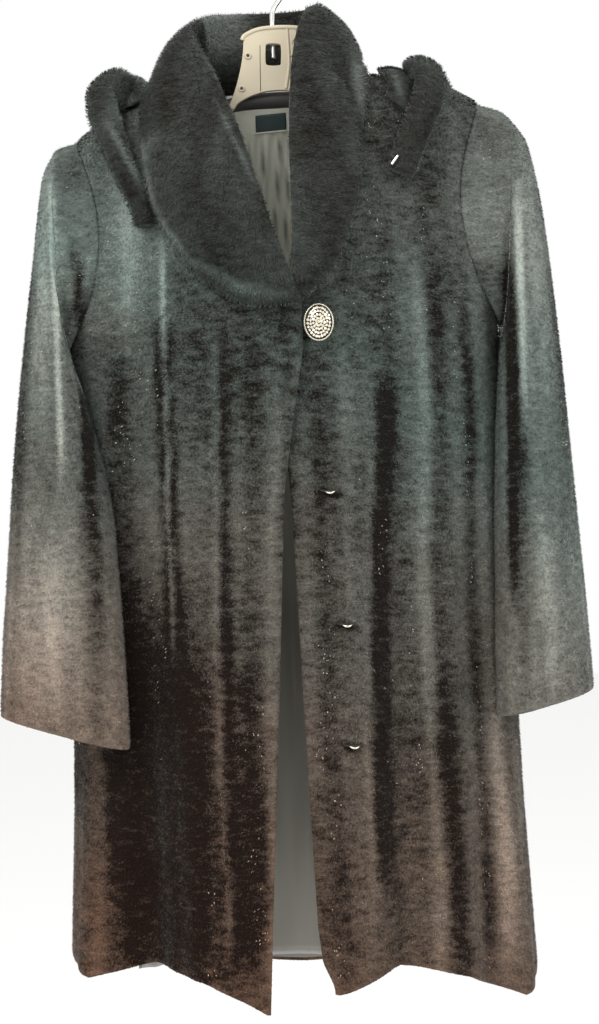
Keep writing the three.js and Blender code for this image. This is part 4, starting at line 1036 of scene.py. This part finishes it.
def sleeve(rows, side):
    """Skin of a sleeve: rings from the oval armhole to the cuff, joined by cubic curves, sunk
    into the body's side on their inner line. side is -1 for the right one and 1 for the left."""
    around, rings = 72, 15
    turn = np.linspace(0, 2 * np.pi, around, endpoint=False)
    middle_z = (ARMHOLE["top"] + ARMHOLE["foot"]) / 2
    half_z = (ARMHOLE["top"] - ARMHOLE["foot"]) / 2
    forward = 1 if side < 0 else -1
    hole_angle = (180 if side < 0 else 0) + forward * (ARMHOLE["reach"] + 1) * np.sin(turn)
    hole_z = middle_z + (half_z + 3) * np.cos(turn) - 5 * (1 - np.cos(turn))
    hole = out_of_face(hole_angle, hole_z, np.full(around, -PILE - SKIN))
    ring = curved(rows, np.linspace(0, 1, rings))
    out = point(ring["out_x"], ring["out_y"], ring["out_z"])[:, None]
    into = point(ring["in_x"], ring["in_y"], ring["in_z"])[:, None]
    centre = (out + into) / 2
    loops = centre + (out - into) / 2 * np.cos(turn)[None, :, None]
    loops[..., 1] -= ring["half"][:, None] * np.sin(turn)
    loops = clear_of_body(loops, 1.2, "under")
    loops = np.concatenate([hole[None], loops])
    place = steps_along(SLEEVE_LENGTH, SKIN_STEP, False, True)
    columns = curved({str(i): loops.reshape(rings + 1, -1)[:, i] for i in range(around * 3)}, place)
    shape = np.stack(list(columns.values()), axis=-1).reshape(len(place), around, 3)
    shape[..., 2] += (eased(0.9, 1, place) * PILE * 0.8)[:, None]
    inward = unit(shape.mean(1, keepdims=True) - shape)
    depth = PILE + SKIN - (PILE + SKIN + 12) * eased(0.1, 0.75, -np.cos(turn))
    sunk = depth[None, :] * eased(0, 0.025, place)[:, None] - creased(np.degrees(turn), place)
    middle = shape + inward * sunk[..., None]
    from_cuff = SLEEVE_LENGTH * (1 - place)
    half = np.repeat((SKIN * crown(from_cuff))[:, None], around, axis=1)
    free = np.repeat(from_cuff[:, None], around, axis=1)
    flat = point(turn[None, :] * 88, (place * SLEEVE_LENGTH)[:, None], 0)[..., :2]
    return skin_of(middle, -inward, sharp_edges(half, True), True, flat, free)


def closed_curve(corners, count):
    """Evenly spaced points of a closed curve through corners (rows, corner, 3): cubic pieces whose
    spacing follows the square root of the distance between corners."""
    before, a, b, after = (np.roll(corners, shift, axis=1) for shift in (1, 0, -1, -2))
    step0, step1, step2 = (np.sqrt(length_of(q - p)) for p, q in ((before, a), (a, b), (b, after)))
    slope_a = ((a - before) / step0 - (b - before) / (step0 + step1) + (b - a) / step1) * step1
    slope_b = ((b - a) / step1 - (after - a) / (step1 + step2) + (after - b) / step2) * step1
    t = np.linspace(0, 1, 12, endpoint=False)[None, None, :, None]
    a, b, slope_a, slope_b = (value[:, :, None] for value in (a, b, slope_a, slope_b))
    fine = cubic(a, b, slope_a, slope_b, t).reshape(len(corners), -1, 3)
    fine = np.concatenate([fine, fine[:, :1]], axis=1)
    walked = np.concatenate(
        [np.zeros((len(fine), 1)), np.cumsum(length_of(np.diff(fine, axis=1))[..., 0], axis=1)], axis=1
    )
    wanted = np.linspace(0, 1, count, endpoint=False)
    return np.stack([
        np.stack([np.interp(wanted * total[-1], total, line[:, k]) for k in range(3)], axis=-1)
        for total, line in zip(walked, fine)
    ])


def inset(rings, depth):
    """Closed rings drawn in by a depth along their point normals, never past 0.45 of the way to
    each ring's middle."""
    quads = grid_quads(len(rings), rings.shape[1], True)
    normal = point_normals(rings.reshape(-1, 3), quads).reshape(rings.shape)
    centre = rings.mean(1, keepdims=True)
    if ((rings - centre) * normal).sum() < 0:
        normal = -normal
    room = length_of(rings - centre) * 0.45
    return rings - normal * np.minimum(depth, room)


def collar():
    """Skin of the shawl collar: a closed section through seam, roll, face, fall edge and underside,
    carried round the neck."""
    row = curved(COLLAR, np.linspace(0, 1, 130))
    seam, roll, fall = (point(row[f"{k}x"], row[f"{k}y"], row[f"{k}z"]) for k in "abc")
    under = (seam + fall) / 2
    middle = (roll + fall) / 2
    line = unit(roll - fall)
    outward = middle - seam
    outward = unit(outward - line * (outward * line).sum(-1, keepdims=True))
    face_point = middle + outward * row["swell"][:, None]
    edge = fall - outward * COLLAR_SMALLEST / 2
    rings = closed_curve(np.stack([seam, roll, face_point, fall, edge, under], axis=1), 44)
    away = ((rings - seam[:, None]) * outward[:, None]).sum(-1)
    whole = ((middle - seam) * outward).sum(-1)[:, None]
    shown = eased(0.6 * whole, 0.95 * whole, away)
    rings = rings + (clear_of_body(rings, COLLAR_SEAT, "over") - rings) * shown[..., None]
    rings = inset(rings, LONG_PILE * 0.55)
    flow = np.repeat(unit(fall - roll)[:, None], 44, axis=1)
    return ring_skin(rings, flow)


def band_rings(rows, around):
    """Rings of the plush band: an oval on the coat's face, carried along the hood's edge, that
    reaches down to the face below."""
    place = np.linspace(0, 1, rows)
    step = 0.5 / 34
    row = curved(TRIM, place)
    before, after = curved(TRIM, place - step), curved(TRIM, place + step)
    normal = face_normal(row["at"], row["z"])
    middle = out_of_face(row["at"], row["z"], row["thick"] + row["lift"] + ROUND_SEAT)
    along = face(after["at"], after["z"]) - face(before["at"], before["z"])
    across = unit(np.cross(along, normal))
    turn = np.linspace(0, 2 * np.pi, around, endpoint=False)
    half = row["half"][:, None, None]
    thick = row["thick"][:, None, None]
    below = thick + row["lift"][:, None, None] + ROUND_SEAT
    level, rise = np.cos(turn)[None, :, None], np.sin(turn)[None, :, None]
    outward = normal[:, None] * np.where(rise > 0, thick, below) * rise
    return middle[:, None] + across[:, None] * half * level + outward, across


def hood_band():
    """Skin of the band, drawn in under its pile, with the nap across it."""
    around = 30
    rings, across = band_rings(150, around)
    flow = np.repeat(across[:, None], around, axis=1)
    return ring_skin(inset(rings, LONG_PILE * 0.55), flow)


def hood():
    """Skin of the hood's crumpled pad: a domed sheet between the line beside the collar and the
    line beside the band."""
    place = steps_along(HOOD_LENGTH, 9, False, False)
    row = curved(HOOD, place)
    part = np.linspace(0, 1, 20)[None, :]
    angle = row["in_at"][:, None] * (1 - part) + row["out_at"][:, None] * part
    z = row["in_z"][:, None] * (1 - part) + row["out_z"][:, None] * part
    dome = 0.45 + 0.55 * np.sin(np.pi * part)
    ends = eased(-0.02, 0.06, place) * (1 - eased(0.94, 1.02, place))
    thick = row["thick"][:, None] * dome * ends[:, None] - PILE
    flat = point(place[:, None] * HOOD_LENGTH, part * 110, 0)[..., :2]
    crumple = 5 * (cloud(flat, (55, 30), 21) - 0.5) + 3 * (cloud(flat, (22, 60), 22) - 0.5)
    thick = np.maximum(thick + crumple * np.sin(np.pi * part), 1.6)
    middle = out_of_face(angle, z, ROUND_SEAT + thick / 2)
    free = np.full(angle.shape, NEVER_NEAR)
    return skin_of(middle, face_normal(angle, z), sharp_edges(thick / 2), False, flat, free)


def build_fur():
    """Makes every fur piece: sheared ones lined with satin, plush ones with plush inside."""
    hides = [HIDE, SATIN]
    dark = [DARK_HIDE, DARK_HIDE]
    sheared = (
        ("front_right", front_right(), sheared_look, "front"),
        ("front_left", front_left(), sheared_look, "front"),
        ("back", coat_back(), sheared_look, "back"),
        ("sleeve_right", sleeve(RIGHT_SLEEVE, -1), arm_look, "sleeve"),
        ("sleeve_left", sleeve(LEFT_SLEEVE, 1), arm_look, "sleeve"),
    )
    for node, skin, look, part in sheared:
        spacing = SPACING[part]
        fur_piece(node, skin, look, spacing, "sheared_fur", hides, SHEARED)
    spacing = SPACING["plush"]
    for node, skin in (("collar", collar()), ("hood_band", hood_band()), ("hood", hood())):
        fur_piece(node, skin, plush_look, spacing, "long_fur", dark, PLUSH)


# Lining, button and metal


def lining_back():
    """Satin inside the back: it follows the plain inner face, hangs looser further down in soft
    vertical folds that grow, and is creased below the neck by slanting pleats with painted shade."""
    down = np.linspace(0, 1, 90)[:, None]
    across = np.linspace(0, 1, 110)[None, :]
    z = LINING["top"] + (LINING["foot"] - LINING["top"]) * down
    angle = LINING["from"] + (LINING["to"] - LINING["from"]) * across + 0 * down
    hung = np.clip((LINING["loose"] - z) / (LINING["loose"] - LINING["foot"]), 0, 1)
    flat = point(np.radians(angle) * 200, -z, 0)[..., :2]
    folds = cloud(flat, (17, 260), 31) + 0.6 * cloud(flat, (9, 120), 32)
    grown = 0.3 + 1.6 * eased(-176, -200, z) + 5.0 * eased(-250, -800, z)
    depth = WALL + LINING["gap"] + LINING["slack"] * hung**FOLD_RISE + 0.7 + folds * grown
    x = face(angle, z + 0 * across, "plain")[..., 0]
    # Painted shade along one side of each pleat, passed to the satin as a mark.
    dark = 0 * x
    ends = eased(-172, -190, z) * (1 - eased(-380, -560, z))
    for place, half_wide, out in PLEATS:
        drift = x - place - 0.08 * (z + 180) - 3 * (cloud(flat, (30, 40), 33) - 0.5)
        depth = depth + out * bump_of(np.abs(drift) / half_wide) * ends
        dark = dark + bump_of(np.abs(drift - half_wide) / 2.2) * ends
    middle = out_of_face(angle, z + 0 * across, -depth, "plain")
    normal = face_normal(angle, z + 0 * across, "plain")
    half = sharp_edges(np.full(angle.shape, 0.6))
    skin = skin_of(middle, normal, half, False, flat, np.zeros(angle.shape))
    inner = np.ones(angle.shape, bool)
    inner[[0, -1]] = inner[:, [0, -1]] = False
    marks = {"pleat_shade": np.clip(np.concatenate([dark.ravel(), dark[inner]]), 0, 1)}
    return finished(from_skin("lining_back_satin", skin, SATIN, marks), "lining", "lining_back")


def tube(name, path, radius, sides, reference, surface):
    """Round bar along a path: circles square to the path, the ends drawn to a point."""
    path = np.asarray(path, float)
    along = unit(np.gradient(path, axis=0))
    side = unit(np.cross(along, np.asarray(reference, float)))
    up = np.cross(side, along)
    turn = np.linspace(0, 2 * np.pi, sides, endpoint=False)[None, :, None]
    radius = np.broadcast_to(np.asarray(radius, float), len(path))[:, None, None]
    rings = path[:, None] + (side[:, None] * np.cos(turn) + up[:, None] * np.sin(turn)) * radius
    return from_skin(name, ring_skin(rings), surface)


def smooth_path(points, count):
    """A number of points on a cubic curve through a few points."""
    row = curved(table("x y z", *points), np.linspace(0, 1, count))
    return point(row["x"], row["y"], row["z"])


def neck_label():
    """Bare woven label on the lining, wavy by a cloud, with a rolled hem along its foot."""
    down = np.linspace(0.5, -0.5, 12)[:, None]
    across = np.linspace(-0.5, 0.5, 22)[None, :]
    z = LABEL["z"] + LABEL["height"] * down + 0 * across
    angle = 360 - angle_of_x(LABEL["x"] + LABEL["width"] * across + 0 * down, z)
    seat = WALL + LINING["gap"] + LABEL["out"]
    depth = seat + 0.5 * cloud(point(angle * 4, z, 0)[..., :2], (9, 8), 41)
    half = sharp_edges(np.full(z.shape, 0.3))
    flat = point(angle * 4, -z, 0)[..., :2]
    middle = out_of_face(angle, z, -depth, "plain")
    skin = skin_of(middle, face_normal(angle, z, "plain"), half, False, flat, half)
    made = finished(from_skin("neck_label_cloth", skin, LABEL_CLOTH), "label", "neck_label")
    x = np.linspace(-0.56, 0.52, 24) * LABEL["width"] + LABEL["x"]
    foot = LABEL["z"] - LABEL["height"] / 2 - 0.6 + 0 * x
    spots = out_of_face(360 - angle_of_x(x, foot), foot, -seat + 0 * x, "plain")
    finished(tube("label_hem", spots, 1.1 + 0 * x, 10, (0, 0, 1), THREAD), "label")
    return made


def upright(count):
    """Frames for copies that keep their own directions."""
    return np.repeat(np.eye(3)[None], count, axis=0)


def bead(rows, around, size):
    """Points and faces of an oval bead."""
    down = np.linspace(0, np.pi, rows + 2)[1:-1, None]
    turn = np.linspace(0, 2 * np.pi, around, endpoint=False)[None, :]
    rings = point(np.cos(down), np.sin(down) * np.cos(turn), np.sin(down) * np.sin(turn))
    skin = ring_skin(rings * np.array(size))
    return skin["points"], skin["quads"]


def crystal(sides):
    """Points and faces of a cut stone: a ring, a smaller raised table and a pointed foot."""
    turn = np.linspace(0, 2 * np.pi, sides, endpoint=False)
    ring = point(np.cos(turn), np.sin(turn), 0)
    points = np.concatenate([ring, ring * 0.56 + (0, 0, 0.5), [(0, 0, 0.52), (0, 0, -0.7)]])
    i = np.arange(sides)
    after = (i + 1) % sides
    top, foot = np.full(sides, 2 * sides), np.full(sides, 2 * sides + 1)
    low, high = i + sides, after + sides
    faces = ((i, after, high), (i, high, low), (top, low, high), (foot, after, i))
    return points, np.concatenate([np.stack(corners, axis=-1) for corners in faces])


def copies(name, form, centres, frames, surface, smooth):
    """One mesh of many copies: each copy's points turned by its frame and moved to its centre."""
    base, faces = form
    points = np.einsum("nij,pj->npi", frames, base) + np.asarray(centres)[:, None]
    first = np.arange(len(points))[:, None, None] * len(base)
    faces = (faces[None] + first).reshape(-1, faces.shape[1])
    return make(name, points.reshape(-1, 3), faces, [surface], smooth=smooth)


def oval(profile, centre, wide, high, sides):
    """Closed body round an axis along Y: each row of the profile gives the inset from the oval's
    edge and the place in y."""
    drawn, y = np.array(profile, float).T
    turn = np.linspace(0, 2 * np.pi, sides, endpoint=False)
    x = centre[0] + (wide - drawn)[:, None] * np.cos(turn)
    z = centre[1] + (high - drawn)[:, None] * np.sin(turn)
    return ring_skin(point(x, y[:, None] + 0 * x, z))


def button():
    """Oval button: rounded metal rim and shank, a ring of beads, and cut stones on a low dome."""
    x, z, back = BUTTON["x"], BUTTON["z"], BUTTON["back"]
    profile = [(drawn, back + y) for drawn, y in RIM_PROFILE]
    rim = oval(profile, (x, z), BUTTON["wide"], BUTTON["high"], 72)
    finished(from_skin("button_rim", rim, PALE_METAL), "metal", "button_setting")
    shank = [(x, back + 12, z), (x, back + 6, z), (x, back - 0.4, z)]
    finished(tube("button_shank", shank, BUTTON["shank"], 20, (0, 0, 1), PALE_METAL), "metal")
    swell = [2.6 + 3.6 * math.sqrt(1 - (1 - step / 13) ** 2) for step in DOME_STEPS]
    profile = [(step, back - out) for step, out in zip(DOME_STEPS, swell)]
    # The dome shows only between the stones, in near black as painted shade.
    dome = oval(profile, (x, z), 13.2, 17, 60)
    finished(from_skin("button_dome", dome, GAP_SHADE), "stone", "button_stone")
    turn = np.linspace(0, 2 * np.pi, BEAD_COUNT, endpoint=False)
    spots = point(x + 14.1 * np.cos(turn), back - 4.1, z + 17.9 * np.sin(turn))
    form, frames = bead(5, 8, (0.8, 0.8, 0.8)), upright(BEAD_COUNT)
    finished(copies("button_beads", form, spots, frames, PALE_METAL, True), "metal")
    stones(x, back, z)


def stones(x, back, z):
    """Cut stones in ovals on the dome, each facing out of it and turned at random."""
    draw = np.random.default_rng(12)
    share = np.concatenate([np.full(n, part) for part, n in STONE_RINGS])
    turn = np.concatenate([np.arange(n) / n * 2 * np.pi + 0.4 * n for _, n in STONE_RINGS])
    x0, z0 = 12 * share * np.cos(turn), 15.8 * share * np.sin(turn)
    rise = np.sqrt(1 - 0.8 * share**2)
    normal = unit(point(x0 / 150, -rise / 6, z0 / 250) * 8 + 0.25 * (draw.random((len(share), 3)) - 0.5))
    side = unit(np.cross(normal, (0, 0, 1)))
    swing = draw.random((len(share), 1)) * 2 * np.pi
    up = np.cross(normal, side)
    swung_side = side * np.cos(swing) + up * np.sin(swing)
    swung_up = up * np.cos(swing) - side * np.sin(swing)
    size = 1.6 + 0.2 * draw.random(len(share))
    frames = np.stack([swung_side, swung_up, normal], axis=-1) * size[:, None, None]
    centres = point(x + x0, back - 2.8 - 4.4 * rise, z + z0)
    finished(copies("button_crystals", crystal(8), centres, frames, CRYSTAL, False), "stone")


def eyes():
    """Wire eyes bowed off the pile, each over a slit of painted shade in the fur."""
    for node, (x, z) in EYES.items():
        part = np.linspace(-1, 1, 19)
        bow = 1 - part**2
        wire_x, wire_z = x + 4.9 * part, z + 1.0 - 2.0 * bow
        spots = out_of_face(angle_of_x(wire_x, wire_z), wire_z, 1.0 + 2.2 * bow)
        thick = 0.55 + 0.7 * bow
        finished(tube(f"{node}_wire", spots, thick, 14, (0, 0, 1), PALE_METAL), "metal", node)
        wide = np.linspace(-1, 1, 25)
        slit_x, slit_z = x + 10 * wide, z + 0.8 + 1.2 * wide**2
        spots = out_of_face(angle_of_x(slit_x, slit_z), slit_z, np.full(25, -0.9))
        finished(tube(f"{node}_slit", spots, 0.1 + 1.7 * (1 - wide**2), 10, (0, 0, 1), GAP_SHADE), "sheared_fur")


def cut_plate(name, outline, hole, surface):
    """Plate standing in the XZ plane, cut from an outline with a hole, its edges bevelled."""
    drawing = bpy.data.curves.new(name, "CURVE")
    drawing.dimensions = "2D"
    drawing.fill_mode = "BOTH"
    drawing.bevel_depth = PLATE["bevel"] * MM
    drawing.bevel_resolution = 3
    drawing.offset = -PLATE["bevel"] * MM
    drawing.extrude = (PLATE["half"] - PLATE["bevel"]) * MM
    for corners, count in ((outline, 150), (hole, 60)):
        flat = np.array([(x, z, 0) for x, z in corners], float)
        loop = closed_curve(flat[None], count)[0] * MM
        line = drawing.splines.new("POLY")
        line.points.add(count - 1)
        line.points.foreach_set("co", np.concatenate([loop, np.ones((count, 1))], axis=1).ravel())
        line.use_cyclic_u = True
        line.use_smooth = False
    holder = bpy.data.objects.new(name, drawing)
    bpy.context.scene.collection.objects.link(holder)
    shaped = holder.evaluated_get(bpy.context.evaluated_depsgraph_get())
    mesh = bpy.data.meshes.new_from_object(shaped)
    bpy.data.objects.remove(holder)
    bpy.data.curves.remove(drawing)
    co = np.empty(len(mesh.vertices) * 3, np.float32)
    mesh.vertices.foreach_get("co", co)
    co = co.reshape(-1, 3)
    stood = np.stack([co[:, 0], PLATE["y"] * MM - co[:, 2], co[:, 1]], axis=-1)
    mesh.vertices.foreach_set("co", stood.ravel())
    edit = bmesh.new()
    edit.from_mesh(mesh)
    bmesh.ops.remove_doubles(edit, verts=edit.verts, dist=2e-5)
    bmesh.ops.recalc_face_normals(edit, faces=edit.faces)
    edit.to_mesh(mesh)
    edit.free()
    mesh.materials.clear()
    mesh.materials.append(surface)
    made = bpy.data.objects.new(name, mesh)
    bpy.context.scene.collection.objects.link(made)
    return made


def hanger():
    """Moulded plate with its lip, ridge, seam and bosses, and the wire hook that hangs in its slot."""
    front = PLATE["front"]
    plate = cut_plate("hanger_middle", PLATE_OUTLINE, PLATE_SLOT, PLASTIC)
    finished(plate, "hanger", "hanger_plate")
    lip = smooth_path([(x, front + 0.6, z) for x, z in LIP], 60)
    finished(tube("hanger_lip", lip, 2.3, 18, (0, 1, 0), PLASTIC), "hanger")
    ridge = smooth_path([(14.1, front, -84), (15, front, -118.8), (11, front, -146)], 30)
    finished(tube("hanger_ridge", ridge, 1.5, 14, (0, 1, 0), PLASTIC), "hanger")
    # The mould seam is a thin line of near black plastic: painted shade along it.
    seam = [(-14.7, front + 0.1, -100), (-15.2, front + 0.1, -120), (-15.6, front + 0.1, -147.5)]
    finished(tube("hanger_seam", seam, 0.4, 8, (0, 1, 0), SHADE_PLASTIC), "hanger")
    for number, (x, z, out, hole) in enumerate(BOSSES):
        wall = out - hole
        profile = [
            (0, front + 0.5), (0, front - 1), (0.3, front - 1.5), (wall - 0.3, front - 1.5),
            (wall, front - 1.1), (wall, front - 0.2),
        ]
        boss = oval(profile, (x, z), out, out, 32)
        finished(from_skin(f"hanger_boss_{number}", boss, PLASTIC), "hanger")
        # A near black plug in each boss's hole: painted shade in the hole.
        profile = [(0, front), (0, front - 0.9), (0.4, front - 0.9)]
        plug = oval(profile, (x, z), hole + 0.1, hole + 0.1, 24)
        plug = from_skin(f"hanger_hole_{number}", plug, SHADE_PLASTIC, smooth=False)
        finished(plug, "hanger")
    # The arms are near black: painted shade of the recess under the plate, where they sit.
    arms = smooth_path(ARMS, 80)
    spread = 8.5 - 3.5 * np.abs(arms[:, 0]) / 172
    finished(tube("hanger_arm", arms, spread, 24, (0, 1, 0), SHADE_PLASTIC), "hanger", "hanger_arms")
    bend = HOOK_BEND + ROD
    turn = np.radians(np.arange(-60, 201, 20))
    path = [
        (-1.3, HOOK_Y, -112), (-1.3, HOOK_Y, -96), (-1.3, HOOK_Y * 0.8, -76),
        (0, HOOK_Y * 0.3, -60), (8, 0, -47),
    ]
    path += [(bend * math.cos(t), 0, -HOOK_BEND + bend * math.sin(t)) for t in turn]
    line = smooth_path(path, 190)
    thick = ROD * np.concatenate([np.ones(186), [0.97, 0.88, 0.7, 0.4]])
    finished(tube("hanger_wire", line, thick, 22, (0.3, 1, 0.1), WIRE), "metal", "hanger_hook")


def build_small():
    """Makes the lining, the label, the button, the eyes and the hanger."""
    lining_back()
    neck_label()
    button()
    eyes()
    hanger()


build_fur()
build_small()

# Nodes that keep their CAD shape
KEPT = {"button_loop": CORD, "hood_hook": PALE_METAL}
for node, surface in KEPT.items():
    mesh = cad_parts[node].data
    mesh.materials.clear()
    mesh.materials.append(surface)


# Stage, camera and light


def floor():
    """Plain pale floor well below the hanging coat."""
    size, z = 9000, -1500
    corners = np.array([[-size, -size, z], [size, -size, z], [size, size, z], [-size, size, z]])
    pale = Finish("pale_floor", Base_Color=(0.9, 0.9, 0.89, 1), Roughness=0.9)
    made = make("floor", corners, [[0, 1, 2, 3]], [pale.material])


def camera():
    """Level camera in front of the coat, a little right of its middle, rolled as the picture is."""
    eye = bpy.data.objects.new("camera", bpy.data.cameras.new("camera"))
    bpy.context.scene.collection.objects.link(eye)
    eye.location = (0.0104, -2.2, -0.587)
    eye.rotation_euler = (math.pi / 2, math.radians(1.89), 0)
    eye.data.sensor_width = 36
    eye.data.lens = 73.66
    eye.data.clip_end = 40
    bpy.context.scene.camera = eye


def lamp(name, place, aim, size, power, colour):
    """Large soft square light."""
    light = bpy.data.lights.new(name, "AREA")
    light.size = size
    light.energy = power
    light.color = colour
    made = bpy.data.objects.new(name, light)
    bpy.context.scene.collection.objects.link(made)
    made.location = place
    way = np.array(aim, float) - np.array(place, float)
    made.rotation_euler = Vector(way).to_track_quat("-Z", "Y").to_euler()


def lights():
    """White surroundings, a warm light from the left and a cool one from the right."""
    world = bpy.data.worlds.new("studio")
    bpy.context.scene.world = world
    world.use_nodes = True
    world.node_tree.nodes["Background"].inputs["Color"].default_value = (1, 1, 1, 1)
    world.node_tree.nodes["Background"].inputs["Strength"].default_value = 1.0
    lamp("key", (-1.6, -2.2, 1.3), (0, 0, -0.5), 1.6, 60, (1, 0.98, 0.95))
    lamp("fill", (2.2, -1.6, 0.4), (0, 0, -0.6), 1.8, 30, (0.95, 1, 1))
    bpy.context.scene.view_settings.view_transform = "Standard"


floor()
camera()
lights()
